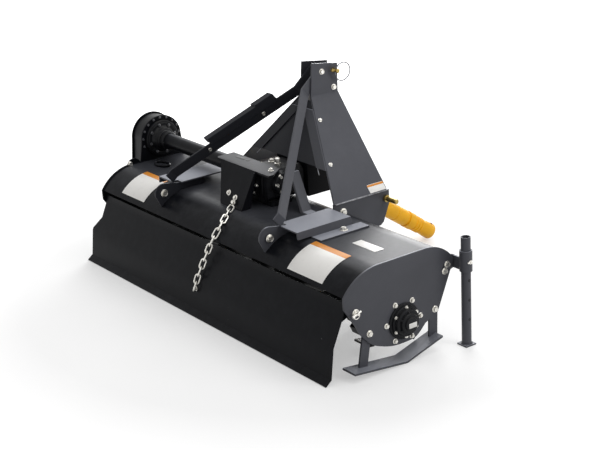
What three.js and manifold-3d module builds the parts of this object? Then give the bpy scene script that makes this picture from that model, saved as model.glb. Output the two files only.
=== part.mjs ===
// Three-point rotary tiller for a compact tractor, as an assembly of named solids.
// Millimetres. +Z up, +Y towards the tractor, +X to the machine's right as seen from behind.
// The floor is z = 0. The sizes below are counted from the rotor's axis (y = 0) and the middle
// of the hitch (x = 0); at the end the whole machine is moved to its own middle.

import * as THREE from "three";
import { mergeVertices } from "three/addons/utils/BufferGeometryUtils.js";
import Module from "manifold-3d";

const wasm = await Module();
wasm.setup();

// ---------------------------------------------------------------- driving sizes

const gap = 0.3; // between two pieces that touch
const plateT = 8; // side plates, hitch plates and brackets
const sheetT = 5; // bent sheet: hood, flap and mast sides

const rightX = 900; // outer face of the right side plate
const leftX = -850; // outer face of the left side plate
const deckZ = 412; // upper face of the flat deck
const axleZ = 160; // rotor axis
const floorClear = 5; // tine circle above the floor
const rotorR = axleZ - floorClear;

// hood and side plates
const deckRearY = -110; // where the deck turns down behind
const deckFrontY = 115; // where it turns down in front
const rearArcR = 200;
const rearArcEnd = 145; // degrees, counted from straight ahead
const frontArcR = 167;
const frontArcEnd = 35;
const apronLength = 70;
const plateRim = 5; // side plates stand above the hood by this

// side drive on the left
const driveY = 52; // axis of the upper drive shaft
const driveZ = deckZ + 93;
const domeR = 106;
const caseDepth = 72;
const coverT = 6;
const flangeR = 84;
const flangeT = 14;
const crossTubeR = 34;
const crossTubeWall = 6;

// gearbox
const boxLeftX = -78;
const boxRightX = 92;
const boxRearY = -20;
const boxFrontY = 168;
const boxLowZ = deckZ + 16;
const boxHighZ = boxLowZ + 128;
const inputZ = boxLowZ + 72; // input shaft axis
const noseFrontY = 205;

// hitch
const mastHalf = 38; // outer face of each mast plate
const hitchX = 358; // outer face of each hitch plate
const hitchTopZ = deckZ + 43;
const hitchRearY = 114;
const hitchFrontY = 404;
const bendZ = hitchTopZ + 355; // where the mast sides lean outwards
const mastTopZ = bendZ + 142;
const headRearY = 266;
const headFrontY = 412;
const lowerPinY = 385;
const lowerPinZ = hitchTopZ - 37;
const lowerPinR = 11;
const lowerPinEndX = 430;
const topPinY = 390;
const topPinZ = mastTopZ - 46;
const spacerY = 384;
const spacerZ = mastTopZ - 118;
const topPinR = 9.5;
const panelLowZ = boxHighZ + 9; // lower edge of the sheet between the mast sides
const panelT = 4;

// shield round the input shaft
const shieldX = 105;
const shieldT = 4;
const shieldLowZ = boxLowZ - 13;
const shieldTopZ = boxHighZ + 4;
const shieldTopFrontY = 270;
const shieldFrontY = 335;
const bossFrontY = boxFrontY + 10; // face of the gearbox's front boss
const noseR = 46;

// struts from the mast down to the rear brackets
const strutTopY = 332;
const strutTopZ = mastTopZ - 42;
const strutFootY = -232; // the struts' line runs on to here
const strutFootZ = deckZ + 20;
const rearBoltY = -232;
const rearBoltZ = deckZ + 2;
const strutW = 48;
const strutT = 8;
const strutTopEnd = 24; // past the top bolt
const strutBend = 116; // from the top bolt to where the strut leans outwards
const boxH = 34; // box on the left strut
const boxStep = 8;
const boxFrom = 78; // from the strut's bend to the box
const boxTo = 363;
const boxStepAt = 154;
const strutEnd = 52; // from the strut's end to the foot of its line
const strutTail = 34; // its straight end beside the bracket
const lobeR = 43;
const braceFootX = 256;
const braceFootY = 50;
const braceW = 44;
const bracketX = 384; // outer face of each rear bracket
const bracketTopZ = deckZ + 32;
const bracketFrontY = -28;
const beamInX = 360; // deck beams: hat section
const beamX = 500;
const beamFlangeX = 562;
const beamRearY = -178;
const beamFrontY = 86;
const beamFlangeFrontY = 128;
const beamNotchY = -150; // the beam's inner rear corner stops here, in front of the strut
const beamT = 6;
const beamTopZ = bracketTopZ + beamT + gap;

// flap behind the rotor
const flapHingeY = -227;
const flapHingeZ = deckZ - 152;
const rodR = 6;
const rodClear = 0.5;
const flapFloor = 4;
const flapSideGap = 6; // between the flap and a side plate
const flapLeftX = -884; // lower part, below the left side plate's rear corner
const flapWideZ = 206; // the left edge slopes outwards from here
const flapSlopeZ = 150; // down to here

// rotor
const shaftR = 32;
const hubDiscR = 74;
const hubDiscT = 9;
const discCount = 7;
const bladeT = 7;
const bladeW = 40;
const bladeReach = 84; // sideways length of a blade's foot
const bladesPerDisc = 6;
const bladeClear = 7; // between the end blades and the skids

// skids
const skidW = 74;
const skidT = 8;
const skidRearY = -266;
const skidBendY = -12;
const skidTipY = 168;
const skidRearRise = 30;
const skidTipRise = 50;
const skidLegW = 40;
const skidLegTopZ = 188;

// parking stand
const standX = rightX + 62;
const standY = 263;
const standR = 19;
const standWall = 3;
const standTopZ = deckZ + 30;
const footSize = 52;
const footT = 6;
const sleeveR = 25;
const sleeveLowZ = deckZ - 107;
const sleeveHighZ = deckZ - 24;
const sleeveClear = 1;
const standFootLowZ = deckZ - 124; // the bracket's foot on the side plate
const standFootHighZ = deckZ - 52;

// drive shaft to the tractor
const ptoAngle = -34.6; // degrees below level at rest
const ptoJointY = 262;
const ptoLength = 824;
const ptoGuardR = 31;
const ptoBellR = 46;
const ptoWall = 3;
const ptoShaftR = 15;
const ptoBallR = 20; // ball of the joint at the gearbox
const ptoRunClear = 0.4; // the shaft's running gap in the guard's inner ring

// flap chain
const chainR = 7;
const chainX = -6;
const chainBow = 70; // how far the slack chain lies to the right at the hood's rear edge
const chainHookY = deckRearY - 6.8 - plateT; // on the bracket's leg
const chainHookZ = deckZ + 20;

// ---------------------------------------------------------------- materials

const paint = (color, roughness) =>
  new THREE.MeshStandardMaterial({ color, roughness, metalness: 0.2 });
const charcoal = paint(0x53545a, 0.5);
const black = paint(0x222328, 0.55);
const castBlack = paint(0x18191c, 0.6);
const zinc = new THREE.MeshStandardMaterial({ color: 0xb9b4a4, roughness: 0.35, metalness: 0.9 });
const gold = new THREE.MeshStandardMaterial({ color: 0xb89a4e, roughness: 0.35, metalness: 0.9 });
const steel = new THREE.MeshStandardMaterial({ color: 0x77787c, roughness: 0.4, metalness: 0.9 });
const yellow = new THREE.MeshStandardMaterial({ color: 0xe2ab14, roughness: 0.45, metalness: 0 });

// ---------------------------------------------------------------- helpers

const deg = Math.PI / 180;
const onX = new THREE.Matrix4().makeBasis(
  new THREE.Vector3(0, 1, 0),
  new THREE.Vector3(0, 0, 1),
  new THREE.Vector3(1, 0, 0),
);
const onY = new THREE.Matrix4().makeBasis(
  new THREE.Vector3(1, 0, 0),
  new THREE.Vector3(0, 0, 1),
  new THREE.Vector3(0, -1, 0),
);

// A closed geometry as a solid that can be cut and joined.
function solid(geometry) {
  const bare = geometry.clone();
  bare.deleteAttribute("normal");
  bare.deleteAttribute("uv");
  const merged = mergeVertices(bare, 1e-4);
  return new wasm.Manifold(
    new wasm.Mesh({
      numProp: 3,
      vertProperties: new Float32Array(merged.attributes.position.array),
      triVerts: new Uint32Array(merged.index.array),
    }),
  );
}

function meshOf(name, body, material) {
  const m = body.getMesh();
  const geometry = new THREE.BufferGeometry();
  geometry.setAttribute("position", new THREE.BufferAttribute(m.vertProperties.slice(), 3));
  geometry.setIndex(new THREE.BufferAttribute(m.triVerts.slice(), 1));
  geometry.computeVertexNormals();
  const mesh = new THREE.Mesh(geometry, material);
  mesh.name = name;
  return mesh;
}

const join = (...bodies) => bodies.reduce((a, b) => a.add(b));
const cut = (body, ...tools) => tools.reduce((a, b) => a.subtract(b), body);

function outline(points) {
  return new THREE.Shape(points.map(([a, b]) => new THREE.Vector2(a, b)));
}

function extrude(shape, depth, steps = 12) {
  return new THREE.ExtrudeGeometry(shape, { depth, bevelEnabled: false, curveSegments: steps });
}

// A shape drawn in (y, z), standing from x0 to x1.
function alongX(shape, x0, x1, steps) {
  return solid(extrude(shape, x1 - x0, steps).applyMatrix4(onX).translate(x0, 0, 0));
}

// A shape drawn in (x, z), standing from y0 to y1.
function alongY(shape, y0, y1, steps) {
  return solid(extrude(shape, y1 - y0, steps).applyMatrix4(onY).translate(0, y1, 0));
}

// A shape drawn in (x, y), standing from z0 to z1.
function alongZ(shape, z0, z1, steps) {
  return solid(extrude(shape, z1 - z0, steps).translate(0, 0, z0));
}

function block(x0, x1, y0, y1, z0, z1) {
  const box = new THREE.BoxGeometry(x1 - x0, y1 - y0, z1 - z0);
  return solid(box.translate((x0 + x1) / 2, (y0 + y1) / 2, (z0 + z1) / 2));
}

// A turned body about the line from a in direction d; the profile is [distance, radius] pairs.
function turned(a, d, profile, sides = 24) {
  const points = profile.map(([s, r]) => new THREE.Vector2(r, s));
  const spin = new THREE.Quaternion().setFromUnitVectors(
    new THREE.Vector3(0, 1, 0),
    new THREE.Vector3(...d).normalize(),
  );
  const body = new THREE.LatheGeometry(points, sides).applyQuaternion(spin).translate(...a);
  return solid(body);
}

function rod(a, b, radius, sides = 20) {
  const d = [b[0] - a[0], b[1] - a[1], b[2] - a[2]];
  const length = Math.hypot(...d);
  return turned(a, d, [[0, 0], [0, radius], [length, radius], [length, 0]], sides);
}

function pipe(a, b, radius, wall, sides = 24) {
  const d = [b[0] - a[0], b[1] - a[1], b[2] - a[2]];
  const length = Math.hypot(...d);
  const inner = radius - wall;
  const ring = [[0, inner], [0, radius], [length, radius], [length, inner], [0, inner]];
  return turned(a, d, ring, sides);
}

const xHole = (y, z, radius, x0, x1) => rod([x0, y, z], [x1, y, z], radius);

// ---------------------------------------------------------------- hood and side plates

const rearArcZ = deckZ - rearArcR;
const frontArcZ = deckZ - frontArcR;

function rearArcPoint(angle, radius) {
  return [deckRearY + radius * Math.cos(angle * deg), rearArcZ + radius * Math.sin(angle * deg)];
}

function frontArcPoint(angle, radius) {
  return [deckFrontY + radius * Math.cos(angle * deg), frontArcZ + radius * Math.sin(angle * deg)];
}

// The side plates' lower outline, from the rear corner round below the hub to the front.
function plateOutline() {
  const rim = rearArcR + plateRim;
  const front = frontArcR + plateRim;
  const shape = new THREE.Shape();
  shape.moveTo(deckRearY, deckZ + plateRim);
  shape.absarc(deckRearY, rearArcZ, rim, 90 * deg, 146 * deg, false);
  shape.lineTo(-279, deckZ - 128);
  shape.lineTo(-229, deckZ - 206);
  shape.lineTo(-207, axleZ + 4);
  shape.splineThru(
    [[-155, -49], [-98, -75], [-45, -88], [20, -90], [65, -82], [109, -44]].map(
      ([y, z]) => new THREE.Vector2(y, axleZ + z),
    ),
  );
  shape.lineTo(174, axleZ - 14);
  shape.absarc(deckFrontY, frontArcZ, front, 33 * deg, 90 * deg, false);
  return shape;
}

// Holes that both side plates have: hub, flap rod and skid bolts stay closed behind their heads.
const hubHoleR = 60;

function sidePlate(name, x0, extra) {
  let body = alongX(plateOutline(), x0, x0 + plateT, 10);
  if (extra) body = body.add(extra);
  body = cut(
    body,
    xHole(0, axleZ, hubHoleR, x0 - 1, x0 + plateT + 1),
    xHole(flapHingeY, flapHingeZ, rodR + rodClear, x0 - 1, x0 + plateT + 1),
  );
  return meshOf(name, body, charcoal);
}

function driveDome(x0, x1, radius, lowZ) {
  const shape = new THREE.Shape();
  shape.moveTo(driveY - radius - 22, lowZ);
  shape.lineTo(driveY + radius + 16, lowZ);
  shape.lineTo(driveY + radius, driveZ);
  shape.absarc(driveY, driveZ, radius, 0, 180 * deg, false);
  return alongX(shape, x0, x1, 14);
}

function hood() {
  const shape = new THREE.Shape();
  const thin = rearArcR - sheetT;
  const thinFront = frontArcR - sheetT;
  const [fy, fz] = frontArcPoint(frontArcEnd, frontArcR);
  const [gy, gz] = frontArcPoint(frontArcEnd, thinFront);
  const back = [-0.4, -0.917]; // the apron leans back under the front edge
  shape.moveTo(...rearArcPoint(rearArcEnd, thin));
  shape.absarc(deckRearY, rearArcZ, thin, rearArcEnd * deg, 90 * deg, true);
  shape.absarc(deckFrontY, frontArcZ, thinFront, 90 * deg, frontArcEnd * deg, true);
  shape.lineTo(gy + back[0] * apronLength, gz + back[1] * apronLength);
  shape.lineTo(fy + back[0] * apronLength, fz + back[1] * apronLength);
  shape.lineTo(fy, fz);
  shape.absarc(deckFrontY, frontArcZ, frontArcR, frontArcEnd * deg, 90 * deg, false);
  shape.absarc(deckRearY, rearArcZ, rearArcR, 90 * deg, rearArcEnd * deg, false);
  const body = alongX(shape, leftX + plateT + gap, rightX - plateT - gap, 10);
  const notch = block(rightX - 2 * plateT - 2 * gap - 1, rightX, 180, 300, standFootLowZ - 6, standFootHighZ + 6);
  return meshOf("hood", cut(body, notch), black);
}

// ---------------------------------------------------------------- side drive

function sideDriveCase() {
  const outer = leftX - gap;
  const inner = outer - caseDepth;
  const shape = new THREE.Shape();
  shape.absarc(0, axleZ, 84, 190 * deg, 350 * deg, false);
  shape.absarc(driveY, driveZ, domeR - 6, 0, 180 * deg, false);
  return meshOf("side_drive_case", alongX(shape, inner, outer, 14), castBlack);
}

function sideDriveCover() {
  const outer = leftX - caseDepth - 2 * gap;
  const shape = new THREE.Shape();
  shape.absarc(0, axleZ, 94, 190 * deg, 350 * deg, false);
  shape.absarc(driveY, driveZ, domeR + 2, 0, 180 * deg, false);
  return meshOf("side_drive_cover", alongX(shape, outer - coverT, outer, 14), black);
}

const flangeX = leftX + plateT + gap; // inner face of the left side plate

function driveFlange() {
  const body = turned([flangeX, driveY, driveZ], [1, 0, 0], [
    [0, 0], [0, flangeR], [flangeT, flangeR], [flangeT, flangeR * 0.62],
    [flangeT + 16, crossTubeR + 16], [flangeT + 34, crossTubeR + 12], [flangeT + 34, 0],
  ], 36);
  return meshOf("drive_flange", body, castBlack);
}

function crossTube() {
  const x0 = flangeX + flangeT + 34 + gap;
  const x1 = boxLeftX - 30 - gap;
  const body = pipe([x0, driveY, driveZ], [x1, driveY, driveZ], crossTubeR, crossTubeWall);
  return meshOf("cross_tube", body, black);
}

// ---------------------------------------------------------------- gearbox

function gearbox() {
  const c = 22;
  const shape = outline([
    [boxLeftX + c, boxLowZ], [boxRightX - c, boxLowZ], [boxRightX, boxLowZ + c],
    [boxRightX, boxHighZ - c], [boxRightX - c, boxHighZ], [boxLeftX + c, boxHighZ],
    [boxLeftX, boxHighZ - c], [boxLeftX, boxLowZ + c],
  ]);
  const body = join(
    alongY(shape, boxRearY, boxFrontY),
    block(boxLeftX - 8, boxRightX + 8, boxRearY + 14, boxRearY + 54, deckZ + gap, boxLowZ + 4),
    block(boxLeftX - 8, boxRightX + 8, deckFrontY - 60, deckFrontY - 20, deckZ + gap, boxLowZ + 4),
    turned([0, boxFrontY - 4, inputZ], [0, 1, 0], [
      [0, 0], [0, 58], [bossFrontY - boxFrontY + 4, 58], [bossFrontY - boxFrontY + 4, noseR],
      [noseFrontY - boxFrontY + 4, noseR - 6], [noseFrontY - boxFrontY + 4, 0],
    ]),
    turned([boxLeftX + 4, driveY, driveZ], [-1, 0, 0], [
      [0, 0], [0, 50], [16, 50], [34, crossTubeR + 8], [34, 0],
    ]),
    turned([boxRightX - 4, driveY, driveZ], [1, 0, 0], [[0, 0], [0, 50], [20, 46], [20, 0]]),
    turned([0, boxRearY + 4, inputZ], [0, -1, 0], [[0, 0], [0, 44], [14, 40], [14, 0]]),
  );
  return meshOf("gearbox", body, castBlack);
}

function gearboxBracket() {
  const low = boxHighZ + gap;
  const high = low + plateT;
  const rear = boxRearY - 14 - gap - 10;
  const top = outline([
    [-240, rear + 10], [-225, rear], [140, rear], [140, rear + 26], [90, 48], [-240, 48],
  ]);
  const footY = deckRearY - 14;
  const lean = outline([
    [rear + 10, high], [rear, high], [footY - plateT, deckZ - 6], [footY, deckZ - 6],
    [rear + 10, low - 4],
  ]);
  const leg = alongX(lean, -200, 52).intersect(
    alongY(outline([[-200, high], [52, high], [40, deckZ - 6], [-96, deckZ - 6]]), -300, 100),
  );
  const under = alongX(plateHoodBlank(), -260, 200, 24);
  const cheek = alongX(
    outline([[rear, low + 1], [rear - plateT, low + 1], [footY - plateT, deckZ - 6], [footY + 40, deckZ - 6]]),
    44,
    52,
  );
  return meshOf("gearbox_bracket", cut(join(alongZ(top, low, high), leg, cheek), under), black);
}

// Everything under the hood's outer skin, with the usual gap, as a tool to cut what sits on it.
function plateHoodBlank() {
  const shape = new THREE.Shape();
  const rear = rearArcR + gap;
  const front = frontArcR + gap;
  const [fy] = frontArcPoint(20, front);
  shape.moveTo(...rearArcPoint(175, rear));
  shape.lineTo(fy, rearArcPoint(175, rear)[1]);
  shape.absarc(deckFrontY, frontArcZ, front, 20 * deg, 90 * deg, false);
  shape.absarc(deckRearY, rearArcZ, rear, 90 * deg, 175 * deg, false);
  return shape;
}

const hoodBlank = alongX(plateHoodBlank(), leftX - 400, rightX + 400, 24);

// ---------------------------------------------------------------- mast, struts and brackets

const lean = new THREE.Vector2(strutFootY - strutTopY, strutFootZ - strutTopZ);
const strutRun = lean.length(); // from the top bolt to the foot, in the (y, z) plane
lean.normalize();

const strutInX = mastHalf - plateT - gap - strutT; // inside the mast plates
const strutOutX = bracketX + gap; // outside the rear brackets
const strutLean = strutRun - strutEnd - strutTail; // where the outward slope ends

// Places what is drawn in (x, distance down the strut) into the struts' own plane.
function onStrutPlane(geometry, lift) {
  const place = new THREE.Matrix4().makeBasis(
    new THREE.Vector3(1, 0, 0),
    new THREE.Vector3(0, lean.x, lean.y),
    new THREE.Vector3(0, -lean.y, lean.x),
  );
  place.setPosition(0, strutTopY + lean.y * lift, strutTopZ - lean.x * lift);
  return solid(geometry.applyMatrix4(place));
}

// Flat bar bent twice: along the mast plate, out to the bracket, and along the bracket.
function strut(name, side, material) {
  const strip = outline([
    [strutInX, -strutTopEnd], [strutInX + strutT, -strutTopEnd],
    [strutInX + strutT, strutBend - 3], [strutOutX + strutT, strutLean],
    [strutOutX + strutT, strutLean + strutTail], [strutOutX, strutLean + strutTail],
    [strutOutX, strutLean + 3], [strutInX, strutBend],
  ]);
  let body = onStrutPlane(extrude(strip, strutW), strutW / 2);
  if (side < 0) body = body.mirror([1, 0, 0]);
  return meshOf(name, body, material);
}

// Long box bolted on top of the left strut.
function strutBox() {
  const from = strutBend + boxFrom;
  const to = strutBend + boxTo;
  const step = strutBend + boxStepAt;
  const slope = (strutOutX - strutInX) / (strutLean - strutBend);
  const at = (s) => strutInX + (s - strutBend) * slope;
  const lower = outline([
    [at(from) - 14, from], [at(from) + 22, from], [at(to) + 22, to], [at(to) - 14, to],
  ]);
  const upper = outline([
    [at(from) - 14, from], [at(from) + 22, from], [at(step) + 22, step], [at(step) - 14, step],
  ]);
  const seat = strutW / 2 + gap;
  const body = onStrutPlane(extrude(lower, boxH), seat + boxH).add(
    onStrutPlane(extrude(upper, boxH + boxStep), seat + boxH + boxStep),
  );
  return meshOf("strut_box", body.mirror([1, 0, 0]), black);
}

function rearBracket(name, side) {
  const shape = new THREE.Shape();
  shape.absarc(rearBoltY, rearBoltZ, lobeR, 190 * deg, 80 * deg, true);
  shape.lineTo(-156, bracketTopZ);
  shape.lineTo(bracketFrontY, bracketTopZ);
  shape.lineTo(bracketFrontY, deckZ - 60);
  shape.lineTo(-180, deckZ - 90);
  shape.lineTo(-222, deckZ - 112);
  const x1 = side > 0 ? bracketX : -bracketX + plateT;
  const body = cut(alongX(shape, x1 - plateT, x1, 10), hoodBlank);
  return meshOf(name, body, side > 0 ? charcoal : black);
}

// Bent sheet on the deck: a flat top at the bracket's height and a flange bolted down outside.
function deckBeam(name, side) {
  const hat = outline([
    [beamInX, beamTopZ - beamT], [beamX - beamT, beamTopZ - beamT], [beamX - 1, deckZ + gap],
    [beamFlangeX, deckZ + gap], [beamFlangeX, deckZ + gap + beamT], [beamX + 5, deckZ + gap + beamT],
    [beamX, beamTopZ], [beamInX, beamTopZ],
  ]);
  const toeTop = deckZ + gap + beamT;
  const toe = block(beamX + 6, beamFlangeX, beamFrontY - 1, beamFlangeFrontY, deckZ - 20, toeTop);
  const overhang = block(0, beamFlangeX + 1, beamRearY - 1, deckRearY - 2, 0, toeTop + 3);
  const notch = block(0, strutOutX + strutT + 3, beamRearY - 1, beamNotchY, 0, beamTopZ + 1);
  let body = join(cut(alongY(hat, beamRearY, beamFrontY), overhang, notch), cut(toe, hoodBlank));
  if (side < 0) body = body.mirror([1, 0, 0]);
  return meshOf(name, body, charcoal);
}

function hitchPlate(name, side) {
  const shape = outline([
    [hitchRearY, deckZ - 60], [hitchRearY, hitchTopZ], [hitchFrontY - 8, hitchTopZ],
    [hitchFrontY, hitchTopZ - 8], [hitchFrontY, lowerPinZ - 24], [372, deckZ - 94],
    [356, deckZ - 106], [262, deckZ - 106], [240, deckZ - 80],
  ]);
  const x0 = side > 0 ? hitchX - plateT : -hitchX;
  const body = cut(
    alongX(shape, x0, x0 + plateT),
    hoodBlank,
    xHole(lowerPinY, lowerPinZ, lowerPinR + gap, x0 - 1, x0 + plateT + 1),
  );
  return meshOf(name, body, charcoal);
}

function hitchPin(name, side) {
  const x0 = hitchX - plateT - 16;
  const out = hitchX - x0;
  const body = turned([x0 * side, lowerPinY, lowerPinZ], [side, 0, 0], [
    [0, 0], [0, 17], [16 - gap, 17], [16 - gap, lowerPinR], [out + gap, lowerPinR],
    [out + gap, 15], [out + 12, 15], [out + 12, lowerPinR], [lowerPinEndX - x0 - 3, lowerPinR],
    [lowerPinEndX - x0, lowerPinR - 3], [lowerPinEndX - x0, 0],
  ]);
  return meshOf(name, body, gold);
}

// The mast sides' rear edge and inner face below their bend, at a height.
const mastDrop = (z) => (bendZ - z) / (bendZ - hitchTopZ - gap);
const rearEdgeY = (z) => headRearY + (hitchRearY + 2 - headRearY) * mastDrop(z);
const innerX = (z) => mastHalf - plateT + (hitchX - mastHalf) * mastDrop(z);

// Sheet between the mast sides, in front of their rear flanges and above the gearbox.
function mastRearPanel() {
  const high = bendZ - 12;
  const low = panelLowZ;
  const side = 1.5 * gap;
  const face = outline([
    [innerX(low) - side, low], [innerX(high) - side, high],
    [side - innerX(high), high], [side - innerX(low), low],
  ]);
  const layer = outline([
    [rearEdgeY(low) + 2, low], [rearEdgeY(low) + 2 + panelT, low],
    [rearEdgeY(high) + 2 + panelT, high], [rearEdgeY(high) + 2, high],
  ]);
  const body = alongY(face, hitchRearY, hitchFrontY).intersect(alongX(layer, -hitchX, hitchX));
  return meshOf("mast_rear_panel", body, charcoal);
}

// Box open in front and below, bolted to the gearbox round its nose.
function inputShield() {
  const y0 = bossFrontY + gap;
  const side = outline([
    [y0, shieldLowZ], [shieldFrontY - 30, shieldLowZ], [shieldFrontY, shieldLowZ + 30],
    [shieldFrontY, shieldTopZ - 70], [shieldTopFrontY, shieldTopZ], [y0, shieldTopZ],
  ]);
  const body = join(
    block(-shieldX, shieldX, y0, y0 + shieldT, shieldLowZ, shieldTopZ),
    block(-shieldX, shieldX, y0, shieldTopFrontY, shieldTopZ - shieldT, shieldTopZ),
    alongX(side, shieldX - shieldT, shieldX),
    alongX(side, -shieldX, shieldT - shieldX),
  );
  const hole = rod([0, y0 - 1, inputZ], [0, y0 + shieldT + 1, inputZ], noseR + 1, 28);
  return meshOf("input_shield", cut(body, hole), black);
}

// Mast side: one bent sheet, upright at the head and leaning out to the hitch plate.
function mastSide(name, side) {
  const inner = mastHalf - plateT;
  const foot = hitchX - plateT;
  const low = hitchTopZ + gap;
  const section = outline([
    [inner, bendZ], [foot, low], [foot + plateT * 1.3, low], [mastHalf, bendZ + 4],
    [mastHalf, mastTopZ + 10], [inner, mastTopZ + 10],
  ]);
  const side0 = outline([
    [headRearY + 14, mastTopZ], [headRearY, bendZ], [hitchRearY + 2, low], [hitchFrontY - 12, low],
    [headFrontY - 3, bendZ], [headFrontY, mastTopZ - 19],
  ]);
  const face = alongX(side0, inner - 1, foot + 40);
  const thick = outline([
    [inner - 34, bendZ - 26], [foot - 34, low - 26], [foot + plateT, low], [mastHalf - 2, bendZ],
  ]);
  const strip = outline([
    [headRearY - 16, bendZ - 42], [headRearY - 22, bendZ - 42],
    [rearEdgeY(panelLowZ) - 5, panelLowZ], [rearEdgeY(panelLowZ) + 1, panelLowZ],
  ]);
  const flange = alongY(thick, 100, 420).intersect(alongX(strip, 0, foot + 40));
  let body = alongY(section, 100, 420).intersect(face).add(flange);
  body = cut(
    body,
    xHole(topPinY, topPinZ, topPinR + gap, inner - 2, mastHalf + 2),
  );
  if (side < 0) body = body.mirror([1, 0, 0]);
  return meshOf(name, body, charcoal);
}

function topHitchPin() {
  const x0 = -mastHalf - 8;
  const length = 2 * mastHalf + 42;
  const body = turned([x0, topPinY, topPinZ], [1, 0, 0], [
    [0, 0], [0, 15], [8 - gap, 15], [8 - gap, topPinR], [length - 3, topPinR],
    [length, topPinR - 3], [length, 0],
  ]);
  return meshOf("top_hitch_pin", body, gold);
}

function mastSpacer() {
  const inner = mastHalf - plateT - gap;
  const body = join(
    rod([-inner, spacerY, spacerZ], [inner, spacerY, spacerZ], 11),
  );
  return meshOf("mast_spacer", body, black);
}

// Flat leg from the gearbox flank out and back to the deck.
function brace() {
  const x0 = boxRightX + 16 + gap + 8;
  const top = driveZ + 42;
  const shape = outline([
    [x0, top], [x0 + 10, top], [braceFootX + 2, deckZ + 9], [braceFootX + 34, deckZ + 8],
    [braceFootX + 34, deckZ + gap], [braceFootX - 10, deckZ + gap],
  ]);
  const back = new THREE.Matrix4().set(1, 0, 0, 0, 0, 1, 0.36, -0.36 * deckZ, 0, 0, 1, 0, 0, 0, 0, 1);
  const flat = extrude(shape, braceW).applyMatrix4(onY).translate(0, braceFootY + braceW / 2, 0);
  return meshOf("right_brace", solid(flat.applyMatrix4(back)), charcoal);
}

// ---------------------------------------------------------------- hub, skids and stand

// Inner face of a side plate, and the middle of the skid below it, as positive-right x.
const plateInner = (side) => (side > 0 ? rightX - plateT : leftX + plateT);

function skidMid(side) {
  return plateInner(side) + (side * plateT) / 2;
}

function bearingHub() {
  const body = turned([rightX + gap, 0, axleZ], [1, 0, 0], [
    [0, 0], [0, 64], [10, 64], [16, 58], [26, 54], [34, 40], [36, 0],
  ], 36);
  return meshOf("bearing_hub", body, castBlack);
}

function skid(name, side) {
  const rise = new THREE.Vector2(skidRearRise, skidTipRise);
  const profile = outline([
    [skidRearY, rise.x], [skidBendY, 0], [skidTipY, rise.y],
    [skidTipY - 2, rise.y + skidT], [skidBendY, skidT], [skidRearY + 1, rise.x + skidT],
  ]);
  const wall = Math.abs(plateInner(side)) - gap;
  const mid = Math.abs(skidMid(side));
  const rearLeg = outline([
    [-214, 24], [-174, 20], [-146, skidLegTopZ - 22], [-156, skidLegTopZ],
    [-176, skidLegTopZ], [-188, skidLegTopZ - 20],
  ]);
  const frontLeg = outline([
    [134, 40], [134 + skidLegW + 2, 44], [180, skidLegTopZ - 18], [168, skidLegTopZ],
    [146, skidLegTopZ], [138, skidLegTopZ - 18],
  ]);
  let body = join(
    alongX(profile, mid - skidW / 2, mid + skidW / 2),
    alongX(rearLeg, wall - plateT, wall),
    alongX(frontLeg, wall - plateT, wall),
  );
  if (side < 0) body = body.mirror([1, 0, 0]);
  return meshOf(name, body, black);
}

function standBracket() {
  const inner = rightX - plateT - gap;
  const base = outline([
    [196, standFootLowZ + 2], [230, standFootLowZ], [standY + 6, standFootLowZ + 12],
    [standY + 6, standFootHighZ - 10], [238, standFootHighZ], [206, standFootHighZ - 10],
  ]);
  const sleeve = pipe([standX, standY, sleeveLowZ], [standX, standY, sleeveHighZ], sleeveR, sleeveR - standR - sleeveClear, 28);
  const arm = block(
    inner - plateT, standX - sleeveR + 3, standY - 2, standY + 6, standFootLowZ + 12, standFootHighZ - 10,
  );
  const body = join(alongX(base, inner - plateT, inner), arm, sleeve);
  return meshOf("stand_bracket", body, charcoal);
}

function parkingStand() {
  const half = footSize / 2;
  const body = join(
    pipe([standX, standY, footT - 1], [standX, standY, standTopZ], standR, standWall, 28),
    block(standX - half, standX + half, standY - half, standY + half, 0, footT),
  );
  return meshOf("parking_stand", body, charcoal);
}

// ---------------------------------------------------------------- flap

const flapProfile = [
  [-262, flapHingeZ + 44], [-271, flapHingeZ + 8], [-328, 142], [-343, 24], [-369, flapFloor],
];

// The same bent line moved inwards by the sheet's thickness.
function sheetOutline(points, thickness) {
  const path = points.map(([y, z]) => new THREE.Vector2(y, z));
  const inner = path.map((p, i) => {
    const before = path[Math.max(i - 1, 0)];
    const after = path[Math.min(i + 1, path.length - 1)];
    const a = p.clone().sub(before).normalize();
    const b = after.clone().sub(p).normalize();
    const along = i === 0 ? b : i === path.length - 1 ? a : a.clone().add(b).normalize();
    const flat = i === 0 || i === path.length - 1 ? 1 : along.dot(b);
    return new THREE.Vector2(-along.y, along.x).multiplyScalar(thickness / flat).add(p);
  });
  return new THREE.Shape([...path, ...inner.reverse()]);
}

function flap() {
  const right = rightX - plateT - flapSideGap;
  const left = leftX + plateT + flapSideGap;
  const sheet = alongX(sheetOutline(flapProfile, sheetT), flapLeftX, right);
  const corner = outline([
    [flapLeftX - 1, flapHingeZ + 80], [flapLeftX - 1, flapSlopeZ], [flapLeftX, flapSlopeZ],
    [left, flapWideZ], [left, flapHingeZ + 80],
  ]);
  const trim = alongY(corner, -400, -200);
  let body = cut(sheet, trim);
  const ear = new THREE.Shape();
  ear.absarc(flapHingeY, flapHingeZ, 15, -60 * deg, 100 * deg, false);
  ear.lineTo(-262, flapHingeZ + 30);
  ear.lineTo(-290, flapHingeZ - 42);
  const last = right - 20;
  const first = left + 20;
  const ears = 6;
  for (let i = 0; i < ears; i++) {
    const x = first + ((last - first) * i) / (ears - 1);
    body = body.add(alongX(ear, x - 5, x + 5, 10));
  }
  body = cut(body, xHole(flapHingeY, flapHingeZ, rodR + rodClear, left, right));
  return meshOf("rear_flap", body, black);
}

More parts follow.
